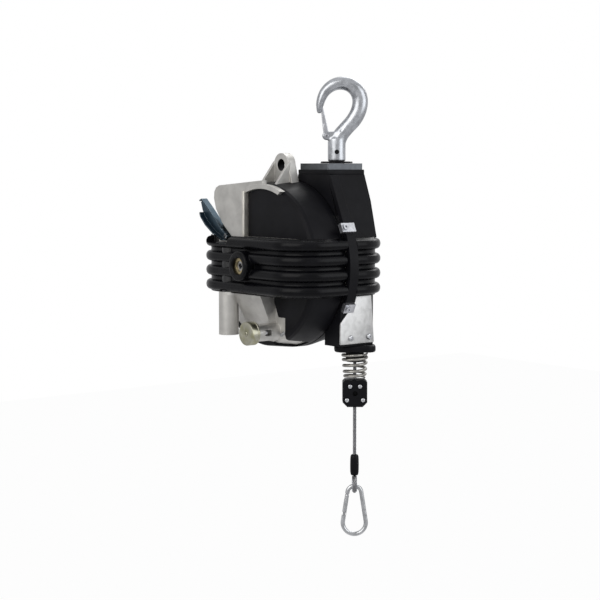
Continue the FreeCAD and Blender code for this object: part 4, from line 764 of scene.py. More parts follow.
# ------------------------------------------------------------------ belt
@dataclass
class BumperBelt:
    """Ribbed rubber belt round the housing, open under the strap, with its collar."""

    half_x: float = 108.0
    half_y: float = 72.0
    corner: float = 45.0
    half_height: float = 36.5
    web: float = 4.0
    crest: float = 11.0
    ribs: int = 4
    pitch: float = 19.3
    rib_half: float = 6.5
    root_round: float = 2.2
    strap_gap: tuple[float, float] = (-1.3, 13.3)
    collar_r: float = 19.5
    collar_face: float = -91.0
    bush_r: float = 11.1
    worm: tuple[float, float, float] = (-42.5, -69.5, 12.6)

    def section(self) -> list[tuple[float, float]]:
        """Closed outline of the wall, as (out, height) corners."""
        nose = self.crest - self.rib_half
        points = [(0.0, -self.half_height), (self.web - 1.2, -self.half_height), (self.web, -self.half_height + 1.2)]
        for index in range(self.ribs):
            middle = (index - (self.ribs - 1) / 2) * self.pitch
            for step in range(5):
                angle = math.pi / 2 * step / 4
                points.append((self.web + self.root_round * (1 - math.cos(angle)),
                               middle - self.rib_half - self.root_round * (1 - math.sin(angle))))
            for step in range(13):
                angle = -math.pi / 2 + math.pi * step / 12
                points.append((max(nose, self.web + self.root_round) + (self.crest - max(nose, self.web
                               + self.root_round)) * math.cos(angle), middle + self.rib_half * math.sin(angle)))
            for step in range(5):
                angle = math.pi / 2 * step / 4
                points.append((self.web + self.root_round * (1 - math.sin(angle)),
                               middle + self.rib_half + self.root_round * (1 - math.cos(angle))))
        points += [(self.web, self.half_height - 1.2), (self.web - 1.2, self.half_height), (0.0, self.half_height)]
        tidy: list[tuple[float, float]] = []
        for point in points:
            if not tidy or math.dist(point, tidy[-1]) > 0.05:
                tidy.append(point)
        return tidy

    def band(self) -> bmesh.types.BMesh:
        """The belt's wall, run round the housing from one side of the strap to the other."""
        bm = bmesh.new()
        flat_x, flat_y = self.half_x - self.corner, self.half_y - self.corner
        verts = [bm.verts.new((self.half_x + out, self.strap_gap[1], height)) for out, height in self.section()]
        first = edges = [bm.edges.new(pair) for pair in zip(verts, verts[1:] + verts[:1])]
        runs = [(0.0, flat_y - self.strap_gap[1]), (-2 * flat_x, 0.0), (0.0, -2 * flat_y), (2 * flat_x, 0.0)]
        turns = [(flat_x, flat_y), (-flat_x, flat_y), (-flat_x, -flat_y), (flat_x, -flat_y)]
        for run, turn in zip(runs, turns):
            edges = self.straight(bm, edges, run)
            spun = bmesh.ops.spin(bm, geom=edges + list({v for e in edges for v in e.verts}),
                                  cent=(turn[0], turn[1], 0.0), axis=(0.0, 0.0, 1.0), angle=math.pi / 2, steps=20)
            edges = [g for g in spun["geom_last"] if isinstance(g, bmesh.types.BMEdge)]
        edges = self.straight(bm, edges, (0.0, flat_y + self.strap_gap[0]))
        for loop in (first, edges):
            bmesh.ops.edgeloop_fill(bm, edges=loop)
        return bm

    @staticmethod
    def straight(bm: bmesh.types.BMesh, edges: list[bmesh.types.BMEdge],
                 run: tuple[float, float]) -> list[bmesh.types.BMEdge]:
        """Carry the section along a straight run and give its new edges."""
        grown = bmesh.ops.extrude_edge_only(bm, edges=edges)["geom"]
        verts = [g for g in grown if isinstance(g, bmesh.types.BMVert)]
        bmesh.ops.translate(bm, vec=(run[0], run[1], 0.0), verts=verts)
        return own_edges(verts)

    def collar(self, bm: bmesh.types.BMesh) -> None:
        """Add the round collar in front of the spindle."""
        back, lip = -self.half_y - 2.0, 3.0
        arc = [(self.collar_r - lip + lip * math.cos(a), self.collar_face + lip - lip * math.sin(a))
               for a in (k * math.pi / 12 for k in range(7))]
        lathe(bm, [(self.bush_r, back), (self.collar_r, back)] + arc
              + [(self.bush_r + 1.4, self.collar_face), (self.bush_r, self.collar_face + 1.4)], axis="Y", steps=72)

    def build(self) -> None:
        """Make the belt and let it stand for its solid."""
        bm = self.band()
        x, y, radius = self.worm
        bulge = rod(radius, (x, y, -self.half_height + 2), (x, y, 24.0), 2.0, 48)
        bmesh.ops.bisect_plane(bulge, geom=bulge.verts[:] + bulge.edges[:] + bulge.faces[:],
                               plane_co=(0.0, -self.half_y - 0.5, 0.0), plane_no=(0.0, 1.0, 0.0), clear_outer=True)
        bmesh.ops.holes_fill(bulge, edges=bulge.edges[:])
        spare = bpy.data.meshes.new("bulge")
        bulge.to_mesh(spare)
        bulge.free()
        bm.from_mesh(spare)
        bpy.data.meshes.remove(spare)
        notch, room = bmesh.new(), bmesh.new()
        add_box(notch, (-92.0, -33.0), (-200.0, -45.0), (27.0, 40.0))
        add_box(room, (-116.0, -33.0), (-58.0, -45.0), (27.0, 40.0))
        nose = rod(14.0, (0.0, -100.0, 0.0), (0.0, 0.0, 0.0), sides=64)
        bm = carved(bm, [notch, room, nose])
        self.collar(bm)
        piece("belt", bm, Finish.RUBBER, Body.HOUSING, replaces=["bumper_belt"])


# ------------------------------------------------------------------ hook
@dataclass
class SwivelHook:
    """Forged swivel hook with its sprung latch."""

    seat: float = SEAT_HEIGHT
    shank_r: float = 11.7
    shank_foot: float = 135.6
    ear_y: tuple[float, float] = (4.0, 7.2)
    pivot: tuple[float, float] = (-13.5, -60.0)
    tip: tuple[float, float] = (-19.6, -22.5)
    pin_r: float = 1.8
    bowl: tuple[tuple[float, float, float, float], ...] = (
        (-22.5, -31.0, 3.2, 4.5), (-22.6, -24.0, 4.6, 6.0), (-20.6, -13.0, 5.8, 7.5), (-15.4, -2.5, 6.8, 8.4),
        (-6.0, 5.6, 7.8, 9.0), (5.5, 8.6, 8.6, 9.4), (17.5, 6.2, 9.4, 9.6), (26.6, -1.5, 10.0, 9.6),
        (30.6, -13.0, 10.3, 9.6), (29.0, -26.0, 10.3, 9.6), (22.8, -38.5, 10.2, 9.6), (13.6, -49.0, 9.8, 9.8),
        (5.6, -58.5, 10.2, 10.2), (0.8, -68.0, 11.0, 11.0))

    def arm(self) -> bmesh.types.BMesh:
        """Bent arm, shank and latch ears merged as one forging."""
        bm = bmesh.new()
        rows = curve_through([(x, self.seat + z, wide, thick) for x, z, wide, thick in self.bowl], 4)
        points = [Vector((x, 0.0, z)) for x, z, _, _ in rows]
        stations = stations_along(points, [row[2] for row in rows], [row[3] for row in rows])
        start = stations[0]
        ends = [Station(start.centre + start.along * step, start.along, start.wide * size, start.thick * size)
                for step, size in ((0.0, 0.45), (0.35, 0.75), (0.9, 0.93))]
        sweep(bm, ends + stations[1:], 32)
        foot, top = self.shank_foot, self.seat - 62.0
        lathe(bm, [(0.0, foot), (self.shank_r - 0.8, foot), (self.shank_r, foot + 0.8), (self.shank_r, top - 2.2),
                   (self.shank_r - 2.2, top), (0.0, top)], steps=64)
        px, pz = self.pivot[0], self.seat + self.pivot[1]
        for side in (-1.0, 1.0):
            near, far = sorted((side * self.ear_y[0], side * self.ear_y[1]))
            add_rod(bm, 5.6, (px, near, pz), (px, far, pz), 0.5)
            add_box(bm, (px, 2.0), (near, far), (pz - 5.6, pz + 5.6), 0.5)
        return bm

    def build(self) -> None:
        """Make the hook, the latch, its pin and dress the stem's parts."""
        px, pz = self.pivot[0], self.seat + self.pivot[1]
        gap, notch = bmesh.new(), bmesh.new()
        add_box(gap, (px - 8.0, px + 7.0), (-self.ear_y[0], self.ear_y[0]), (pz - 8.0, pz + 8.0))
        add_box(notch, (-32.0, self.tip[0] + 3.2), (-2.6, 2.6), (self.seat - 40.0, self.seat + self.tip[1] + 1.5))
        band = rod(4.2, (15.5, -12.9, self.seat - 38.0), (2.4, -12.9, self.seat - 55.5), 3.0)
        far_band = rod(4.2, (15.5, 12.9, self.seat - 38.0), (2.4, 12.9, self.seat - 55.5), 3.0)
        pin_hole = rod(self.pin_r, (px, -20.0, pz), (px, 20.0, pz))
        cross_hole = rod(3.0, (0.0, -20.0, 148.0), (0.0, 20.0, 148.0))
        forging = carved(self.arm(), voxel=0.9, smooth=14)
        forging = carved(forging, [gap, notch, band, far_band, pin_hole, cross_hole])
        piece("swivel_hook", forging, Finish.ZINC, Body.HOOK, Place.HOOK, ["hook"])
        self.latch()
        pin = rod(self.pin_r, (px, -8.0, pz), (px, 8.0, pz), 0.3)
        for side in (-1.0, 1.0):
            add_rod(pin, 2.9, (px, side * 7.2, pz), (px, side * 8.0, pz), 0.35)
        piece("latch_rivet", pin, Finish.PLATED, Body.HOOK, Place.HOOK, ["latch_pin"])
        dress(Finish.MACHINED, "hook_stem", "hook_nut", "thrust_bearing")
        dress(Finish.BORE, "hook_cross_pin")
        dress(Finish.RUBBER, "hook_washer")

    def latch(self) -> None:
        """Make the pressed latch as a folded channel."""
        px, pz = self.pivot[0], self.seat + self.pivot[1]
        tx, tz = self.tip[0], self.seat + self.tip[1]
        along = Vector((tx - px, 0.0, tz - pz))
        side = Vector((along.z, 0.0, -along.x)).normalized()
        half = self.ear_y[0] - 0.2
        bm = bmesh.new()

        def corner(share: float, out: float, y: float) -> Vector:
            """Point at a share of the latch's length and a distance across it."""
            return Vector((px, y, pz)) + along * share + side * out

        outline = [(0.0, -3.4), (0.35, -3.0), (0.96, -1.5), (1.0, -0.9), (1.0, 1.1), (0.96, 1.6), (0.35, 3.0), (0.0, 3.6)]
        slab(bm, [corner(share, out, -2.4) for share, out in outline], (0.0, 4.8, 0.0), 0.5)
        root = [(-0.04, -3.4), (0.32, -2.9), (0.4, -1.6), (0.4, 1.8), (0.32, 3.0), (-0.04, 3.6)]
        slab(bm, [corner(share, out, -half) for share, out in root], (0.0, 2 * half, 0.0), 0.5)
        add_rod(bm, 4.6, (px, -half, pz), (px, half, pz), 0.5)
        groove = bmesh.new()
        add_box(groove, (-1.3, 1.3), (-1.6, 1.6), (3.0, along.length - 3.0), 0.4)
        tilt = Matrix.Translation((px, 0.0, pz)) @ Matrix.Rotation(math.atan2(along.x, along.z), 4, "Y")
        bmesh.ops.transform(groove, matrix=tilt @ Matrix.Translation((2.2, 0.0, 0.0)), verts=groove.verts[:])
        bm = carved(carved(bm, voxel=0.4, smooth=2), [groove, rod(self.pin_r + 0.05, (px, -10.0, pz), (px, 10.0, pz))])
        piece("latch", bm, Finish.PLATED, Body.LATCH, Place.HOOK, ["hook_latch"])


# ------------------------------------------------------------------ rope side
@dataclass
class RopeGuide:
    """Satin plate, its screws and the nozzle under the guide."""

    seat_x: float = 101.5
    plate: float = 2.5
    front_y: float = -2.0
    back_y: float = 55.0
    foot_z: float = -100.0
    nozzle_z: tuple[float, float] = (-112.0, -103.0)
    screw_places: tuple[tuple[float, float], ...] = ((15.0, -92.0), (46.0, -92.0))

    def build(self) -> None:
        """Make the plate, the screws and the nozzle."""
        bm = bmesh.new()
        outline = [(self.front_y, self.foot_z), (self.back_y, self.foot_z), (50.0, -37.5), (25.0, -37.5),
                   (22.0, -46.0), (self.front_y, -72.0)]
        slab(bm, [(self.seat_x, y, z) for y, z in outline], (self.plate, 0.0, 0.0), 0.45, corners=1.6)
        piece("guide_cover", bm, Finish.SATIN, Body.HOUSING, replaces=["guide_plate"])
        screws = bmesh.new()
        face = self.seat_x + self.plate
        for y, z in self.screw_places:
            socket_screw(screws, (face, y, z), (1.0, 0.0, 0.0), 4.0, 2.6)
        piece("guide_cover_screws", screws, Finish.SCREW, Body.HOUSING, replaces=["guide_screws"])
        self.nozzle()
        dress(Finish.PLASTIC, "guide_body")

    def nozzle(self) -> None:
        """Make the rounded foot with its spigot."""
        low, high = self.nozzle_z
        bm = bmesh.new()
        plan = [(-27.0, -17.0, low), (27.0, -17.0, low), (27.0, 17.0, low), (-27.0, 17.0, low)]
        slab(bm, plan, (0.0, 0.0, high - low), 2.6, 4, corners=12.0)
        lathe(bm, [(3.3, low + 3.0), (3.3, low - 11.6), (4.6, low - 13.0), (11.2, low - 13.0), (12.0, low - 12.2),
                   (12.0, low + 1.0)], steps=56)
        piece("nozzle", bm, Finish.PLASTIC, Body.HOUSING, Place.ROPE, ["rope_nozzle"])


def socket_screw(bm: bmesh.types.BMesh, seat: Sequence[float], way: Sequence[float], radius: float,
                 height: float) -> None:
    """Add a domed screw head with a hexagon socket.

    Args:
        bm: Mesh that the head is added to.
        seat: Centre of the face that it sits on.
        way: Direction that it stands out.
        radius: Radius of the head.
        height: Height of the head.
    """
    out = Vector(way).normalized()
    base = Vector(seat)
    up = Vector((0.0, 0.0, 1.0)) if abs(out.z) < 0.9 else Vector((0.0, 1.0, 0.0))
    rows = [(0.0, radius * 0.98), (height * 0.35, radius), (height * 0.7, radius * 0.93), (height * 0.92, radius * 0.74),
            (height, radius * 0.5)]
    rounds = [Station(base + out * step, out, size, size, up) for step, size in rows]
    hole = radius * 0.42
    rounds += [Station(base + out * step, out, size, size, up)
               for step, size in ((height * 0.99, hole), (height * 0.45, hole), (height * 0.42, hole * 0.6))]
    sweep(bm, rounds, 24)


@dataclass
class RopeEnd:
    """Buffer spring, stop block and the wire rope with its loop."""

    rope_r: float = 2.3
    spring_z: tuple[float, float] = (-148.5, -112.4)
    spring_r: tuple[float, float] = (13.0, 16.2)
    wire_r: float = 1.95
    coils: float = 5.0
    block_z: tuple[float, float] = (-184.0, -148.5)
    block_half: float = 16.0
    block_depth: float = 11.0
    screw_places: tuple[tuple[float, float], ...] = ((-6.5, -157.0), (6.5, -157.0), (-10.5, -175.0), (10.5, -175.0))
    tail_foot: float = -249.0
    sleeve_z: tuple[float, float] = (-276.0, -249.0)
    eye_r: float = 9.9
    eye_z: float = -287.6
    hole_r: float = 6.6
    lay: float = 29.0
    strand_angle: float = math.radians(60.0)

    def spring(self) -> None:
        """Wind the conical buffer spring with closed end coils."""
        bm = bmesh.new()
        low, high = self.spring_z[0] + self.wire_r + 0.05, self.spring_z[1] - self.wire_r - 0.05
        count = int(36 * self.coils)
        points, sizes = [], []
        for index in range(count + 1):
            share = index / count
            turn = 2 * math.pi * self.coils * share
            ease = share - math.sin(2 * math.pi * share) / (2 * math.pi) * 0.28
            radius = self.spring_r[0] + (self.spring_r[1] - self.spring_r[0]) * share
            points.append(Vector((radius * math.cos(turn), radius * math.sin(turn), low + (high - low) * ease)))
            sizes.append(self.wire_r * min(1.0, 0.55 + 8 * min(share, 1 - share)))
        sweep(bm, stations_along(points, sizes, sizes, Vector((0.0, 0.0, 1.0))), 14)
        piece("buffer_coils", bm, Finish.SPRING, Body.ROPE_END, Place.ROPE, ["buffer_spring"])

    def block(self) -> None:
        """Make the two halves of the stop block and their cap screws."""
        low, high = self.block_z
        half, cut, shoulder = self.block_half, 6.0, 3.0
        outline = [(-half + cut, low), (half - cut, low), (half, low + cut), (half, high - shoulder),
                   (half - shoulder, high), (-half + shoulder, high), (-half, high - shoulder), (-half, low + cut)]
        for name, y0, y1 in (("front", -self.block_depth, -0.15), ("rear", 0.15, self.block_depth)):
            bm = bmesh.new()
            slab(bm, [(x, y0, z) for x, z in outline], (0.0, y1 - y0, 0.0), 0.9)
            holes = [rod(self.rope_r, (0.0, 0.0, low - 1.0), (0.0, 0.0, high + 1.0), sides=32)]
            if name == "front":
                holes += [rod(3.6, (x, -self.block_depth - 1.0, z), (x, -self.block_depth + 2.4, z), sides=28)
                          for x, z in self.screw_places]
                holes.append(rod(3.4, (0.0, -self.block_depth - 1.0, (low + high) / 2),
                                 (0.0, -self.block_depth + 6.0, (low + high) / 2), sides=28))
            piece(f"block_{name}", carved(bm, holes), Finish.PLASTIC, Body.ROPE_END, Place.ROPE,
                  [f"stop_block_{name}"])
        screws = bmesh.new()
        for x, z in self.screw_places:
            socket_screw(screws, (x, -self.block_depth + 2.4, z), (0.0, -1.0, 0.0), 3.1, 3.0)
            add_hexagon(screws, 3.0, (x, self.block_depth - 0.8, z), (x, self.block_depth - 0.05, z))
        piece("block_screws", screws, Finish.SCREW, Body.ROPE_END, Place.ROPE, ["stop_block_screws"])

    def route(self, top: float, foot: float) -> list[Vector]:
        """Points read from the rope's own smooth line between two heights, in the row frame.

        Args:
            top: Upper end in millimetres.
            foot: Lower end in millimetres.

        Returns:
            The points in metres.
        """
        curve = bpy.data.curves.new("rope_route", "CURVE")
        curve.dimensions = "3D"
        curve.resolution_u = 60
        spline = curve.splines.new("NURBS")
        heights = [top, top + (foot - top) / 3, top + (foot - top) * 2 / 3, foot]
        spline.points.add(len(heights) - 1)
        for point, height in zip(spline.points, heights):
            place = Place.ROPE.matrix() @ Vector((0.0, 0.0, height))
            point.co = (*place, 1.0)
        spline.order_u = 3
        spline.use_endpoint_u = True
        holder = bpy.data.objects.new("rope_route", curve)
        line = bpy.data.meshes.new_from_object(holder)
        points = [vertex.co.copy() for vertex in line.vertices]
        bpy.data.meshes.remove(line)
        bpy.data.objects.remove(holder)
        bpy.data.curves.remove(curve)
        return points

    def strands(self, points: Sequence[Vector], start: float = 0.0) -> bmesh.types.BMesh:
        """Lay six strands round a core along a line.

        Args:
            points: The line, in metres.
            start: Turn of the strands at its start.

        Returns:
            The rope's mesh, in metres.
        """
        bm = bmesh.new()
        radius, thick = self.rope_r * 0.0007, self.rope_r * 0.0003
        up = Vector((0.0, 1.0, 0.0))
        for index in range(7):
            line, run = [], 0.0
            for before, here in zip([points[0], *points[:-1]], points):
                run += (here - before).length
                angle = start + index * math.pi / 3 + 2 * math.pi * run / (self.lay * 0.001)
                ring = Vector((math.cos(angle), math.sin(angle), 0.0)) * (radius if index < 6 else 0.0)
                line.append(here + ring)
            sizes = [thick * (1.0 if index < 6 else 1.5)] * len(line)
            sweep(bm, stations_along(line, sizes, sizes, up), 8)
        return bm

    def rope(self) -> tuple[bpy.types.Object, list[Vector]]:
        """Make the rope above the block and the free rope below it, and give the free one and its line."""
        top, foot = self.block_z[0], self.tail_foot
        lead = piece("rope_above_block", self.strands(self.route(0.0, top)), Finish.WIRE, None, None, ["rope_lead"],
                     angle=self.strand_angle)
        Place.ROPE.matrix() @ Vector()
        Place.ROPE.matrix() @ Vector((0.0, 0.0, top))
        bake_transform(lead)
        path = self.route(top, foot)
        tail = piece("free_rope", self.strands(path), Finish.WIRE, Body.ROPE_END, None, ["rope_tail"],
                     angle=self.strand_angle)
        return tail, path

    def loop(self) -> list[bpy.types.Object]:
        """Make the sleeve, the rope's loop and the thimble."""
        low, high = self.sleeve_z
        sleeve = bmesh.new()
        profile = [(2.3, high + 0.9), (3.6, high + 0.7), (4.7, high - 0.2), (5.35, high - 2.0), (5.6, high - 5.0),
                   (5.75, high - 12.0), (5.7, low + 8.0), (5.5, low + 4.0), (5.0, low + 1.4), (4.2, low + 0.2), (2.2, low)]
        lathe(sleeve, profile, steps=40)
        cover = piece("crimp_sleeve", sleeve, Finish.SLEEVE, Body.ROPE_END, Place.ROPE, ["rope_sleeve"])
        eye = bmesh.new()
        for index in range(6):
            line = []
            steps = 168
            for step in range(steps):
                turn = 2 * math.pi * step / steps
                twist = index * math.pi / 3 + 2 * math.pi * 2 * step / steps
                out = self.eye_r + self.rope_r * 0.66 * math.cos(twist)
                line.append(Vector((self.rope_r * 0.66 * math.sin(twist), out * math.sin(turn),
                                    self.eye_z - out * math.cos(turn))))
            sizes = [self.rope_r * 0.34] * steps
            sweep(eye, stations_along(line, sizes, sizes, Vector((1.0, 0.0, 0.0))), 8)
        bmesh.ops.bisect_plane(eye, geom=eye.verts[:] + eye.edges[:] + eye.faces[:],
                               plane_co=(0.0, 0.0, low - 0.2), plane_no=(0.0, 0.0, 1.0), clear_outer=True)
        wound = piece("rope_loop", eye, Finish.WIRE, Body.ROPE_END, Place.ROPE, ["rope_eye"], angle=self.strand_angle)
        ring = bmesh.new()
        profile = [(self.hole_r + 0.5, -3.0), (self.eye_r + 0.5, -3.0), (self.eye_r + 0.5, -2.5)]
        profile += [(self.eye_r - 0.3, -2.1), (self.eye_r - 1.6, -1.3), (self.eye_r - 2.2, 0.0), (self.eye_r - 1.6, 1.3),
                    (self.eye_r - 0.3, 2.1), (self.eye_r + 0.5, 2.5), (self.eye_r + 0.5, 3.0), (self.hole_r + 0.5, 3.0),
                    (self.hole_r, 2.2), (self.hole_r, -2.2)]
        lathe(ring, profile, (0.0, 0.0, self.eye_z), "X", 72)
        bmesh.ops.bisect_plane(ring, geom=ring.verts[:] + ring.edges[:] + ring.faces[:],
                               plane_co=(0.0, 0.0, low - 0.1), plane_no=(0.0, 0.0, 1.0), clear_outer=True)
        bmesh.ops.holes_fill(ring, edges=ring.edges[:])
        eyelet = piece("rope_thimble", ring, Finish.PLATED, Body.ROPE_END, Place.ROPE, ["thimble"])
        return [cover, wound, eyelet]

    def build(self) -> None:
        self.spring()
        self.block()
        tail, path = self.rope()
        hung = self.loop()
        Carabiner(self.eye_z).build()


@dataclass
class Carabiner:
    """Pear-shaped wire carabiner with its sprung gate."""

    eye_z: float
    wire_r: float = 2.85
    top_r: float = 9.1
    foot_r: float = 15.2
    span: float = 40.0
    pin_drop: float = 2.8
    crown: float = 2.3

    def centre(self) -> float:
        """Height of the upper bend's centre."""
        return self.eye_z - 6.6 + self.wire_r + 0.9 - self.top_r

    def sides(self) -> tuple[Vector, Vector, float]:
        """Tangent points of the two bends on the +X side, and the side's lean."""
        lean = math.asin((self.foot_r - self.top_r) / self.span)
        out = Vector((math.cos(lean), 0.0, math.sin(lean)))
        top = Vector((0.0, 0.0, self.centre()))
        return top + out * self.top_r, top - Vector((0.0, 0.0, self.span)) + out * self.foot_r, lean

    def gate_ends(self) -> tuple[Vector, Vector]:
        """Upper and lower end of the gate on the -X side."""
        top, foot, _ = self.sides()
        left_top, left_foot = Vector((-top.x, 0.0, top.z)), Vector((-foot.x, 0.0, foot.z))
        return left_top + (left_foot - left_top) * 0.06, left_top + (left_foot - left_top) * 0.80

    def line(self) -> list[Vector]:
        """Centre line of the wire, from the gate's hinge round to its nose."""
        top, foot, lean = self.sides()
        upper, lower = self.gate_ends()
        points = [upper]
        for step in range(25):
            angle = math.pi - lean - (math.pi - 2 * lean) * step / 24
            points.append(Vector((self.top_r * math.cos(angle), 0.0, self.centre() + self.top_r * math.sin(angle))))
        points += [top + (foot - top) * share for share in (0.1, 0.3, 0.5, 0.7, 0.9)]
        low = self.centre() - self.span
        for step in range(37):
            angle = lean - (math.pi + 2 * lean) * step / 36
            points.append(Vector((self.foot_r * math.cos(angle), 0.0, low + self.foot_r * math.sin(angle))))
        points.append(lower)
        return points

    def build(self) -> list[bpy.types.Object]:
        """Make the body, the gate and the rivet, and give them."""
        upper, lower = self.gate_ends()
        points = self.line()
        bm = bmesh.new()
        sizes = [self.wire_r] * len(points)
        sweep(bm, stations_along(points, sizes, sizes), 24)
        add_box(bm, (upper.x - 1.2, upper.x + 1.2), (-1.0, 1.0), (upper.z - 5.0, upper.z + 1.0), 0.3)
        add_box(bm, (lower.x - 0.7, lower.x + 0.7), (-2.2, 2.2), (lower.z - 1.0, lower.z + 2.6), 0.15)
        add_rod(bm, 1.4, (lower.x, -2.2, lower.z + 2.6), (lower.x, 2.2, lower.z + 2.6), 0.3, 20)
        body = piece("carabiner_wire", bm, Finish.WIRE_ZINC, Body.CARABINER, Place.ROPE, ["carabiner_body"])
        lift = (upper - lower).normalized()
        arm = bmesh.new()
        add_rod(arm, self.wire_r, lower + lift * 0.3, upper - lift * 0.3, 0.5, 24, self.crown)
        hinge = upper.z - self.pin_drop
        slot_top, slot_low = bmesh.new(), bmesh.new()
        add_box(slot_top, (upper.x - 4.0, upper.x + 4.0), (-1.3, 1.3), (upper.z - 8.0, upper.z + 1.0))
        add_box(slot_low, (lower.x - 4.0, lower.x + 2.4), (-2.5, 2.5), (lower.z - 1.0, lower.z + 4.6))
        gate_mesh = carved(arm, [slot_top, slot_low])
        gate = piece("carabiner_gate_arm", gate_mesh, Finish.WIRE_ZINC, Body.GATE, Place.ROPE, ["carabiner_gate"])
        rivet = rod(1.0, (upper.x, -self.wire_r - 0.1, hinge), (upper.x, self.wire_r + 0.1, hinge), 0.3, 20)
        pin = piece("gate_rivet", rivet, Finish.SCREW, Body.CARABINER, Place.ROPE, ["gate_pin"])
        return [body, gate, pin]


# ------------------------------------------------------------------ controls
@dataclass
class Controls:
    """Lock knob, brake lever and their screws."""

    knob_x: float = 22.0
    knob_z: float = -86.0
    knob_r: float = 15.5
    face_y: float = -93.0
    depth: float = 13.0
    sleeve_r: float = 11.8
    room: float = 7.0

    def knob(self) -> None:
        """Turn the knob with a chamfered rim, a grooved side and a dished face."""
        bm = bmesh.new()
        r, face, back = self.knob_r, self.face_y, self.face_y + self.depth
        profile = [(3.4, face + 1.9), (3.4, face + 0.55), (4.2, face + 0.4), (8.5, face + 0.4), (9.2, face), (r - 1.3, face),
                   (r - 0.35, face + 0.45), (r, face + 1.3), (r, face + 9.0), (r - 0.5, face + 9.4), (r - 0.5, face + 10.1),
                   (r, face + 10.5), (r, back - 0.9), (r - 0.9, back), (self.sleeve_r, back),
                   (self.sleeve_r, back - self.room), (3.4, back - self.room)]
        lathe(bm, profile, (self.knob_x, 0.0, self.knob_z), "Y", 72)
        piece("knob", bm, Finish.OLIVE, Body.LOCK, replaces=["lock_knob"])
        screw = bmesh.new()
        socket_screw(screw, (self.knob_x, face + 1.9, self.knob_z), (0.0, -1.0, 0.0), 3.15, 2.4)
        piece("knob_centre_screw", screw, Finish.OLIVE, Body.LOCK, replaces=["knob_screw"])

    def build(self) -> None:
        """Make the knob and dress the lever and the small screws."""
        self.knob()
        dress(Finish.MACHINED, "lock_pin", "lock_detent")
        dress(Finish.PRESSED, "brake_lever")
        dress(Finish.SCREW, "lever_screw", "bottom_screws")


# ------------------------------------------------------------------ housing and drive
@dataclass
class Housing:
    """Castings, skins and the fixed parts that keep their own solids."""

    jamb_x: tuple[float, float] = (-38.0, -33.0)
    jamb_y: tuple[float, float] = (-55.0, -44.0)
    jamb_z: tuple[float, float] = (27.0, 96.5)
    bar: tuple[tuple[float, float], ...] = ((12.0, 71.0), (4.0, 63.0), (118.5, 133.0))
    bar_rim: float = 6.5
    lug: tuple[float, float, float] = (0.0, -12.0, 131.0)
    bore_r: float = 8.0
    bore_half: float = 5.8

    def jamb(self) -> None:
        """Make the cast rib beside the lever's opening, in a lighter copy of the casting that paints the light falling
        on it.
        """
        bm = bmesh.new()
        add_box(bm, self.jamb_x, self.jamb_y, self.jamb_z, 0.9)
        piece("opening_jamb", bm, Finish.CAST_RIM, Body.HOUSING)

    def collar(self) -> None:
        """Raise the skin's mouth round the foot of the bar."""
        (x0, x1), (y0, y1), (z0, _) = self.bar
        bm, room = bmesh.new(), bmesh.new()
        add_box(bm, (x0 - 1.6, x1 + 1.6), (y0 - 1.6, y1 + 1.6), (z0 - 0.6, z0 + self.bar_rim), 1.0)
        add_box(room, (x0 - 0.1, x1 + 0.1), (y0 - 0.1, y1 + 0.1), (z0 - 2.0, z0 + self.bar_rim + 2.0))
        piece("bar_mouth", carved(bm, [room]), Finish.PLASTIC, Body.HOUSING)

    def bore(self) -> None:
        """Line the suspension eye with a thin near-black wall, painted shade inside the eye."""
        bm = bmesh.new()
        inner, outer, half = self.bore_r - 0.15, self.bore_r + 0.05, self.bore_half
        lathe(bm, [(inner, -half), (outer, -half), (outer, half), (inner, half)], self.lug, "Y", 56)
        piece("eye_painted_shade", bm, Finish.BORE, Body.HOUSING)

    def build(self) -> None:
        """Dress the housing."""
        dress(Finish.CAST_BODY, "front_casting")
        dress(Finish.CAST, "rear_casting", "rear_cap")
        self.jamb()
        self.collar()
        self.bore()
        dress(Finish.PLASTIC, "front_skin", "rear_skin", "joint_strap")
        dress(Finish.PLATED, "strap_lugs")
        dress(Finish.BAR, "suspension_bar")
        dress(Finish.BRONZE, "spindle_bush")
        dress(Finish.SCREW, "rear_cap_screws")


@dataclass
class Drive:
    """Spindle, worm gear, drum and power spring inside the housing."""

    def build(self) -> None:
        """Dress the drive."""
        dress(Finish.MACHINED, "spindle", "worm_screw", "drum_bearings", "spring_case", "spring_case_cover")
        dress(Finish.BRONZE, "worm_wheel")
        dress(Finish.CAST, "rope_drum")
        dress(Finish.WIRE, "drum_rope")
        dress(Finish.SPRING, "power_spring")


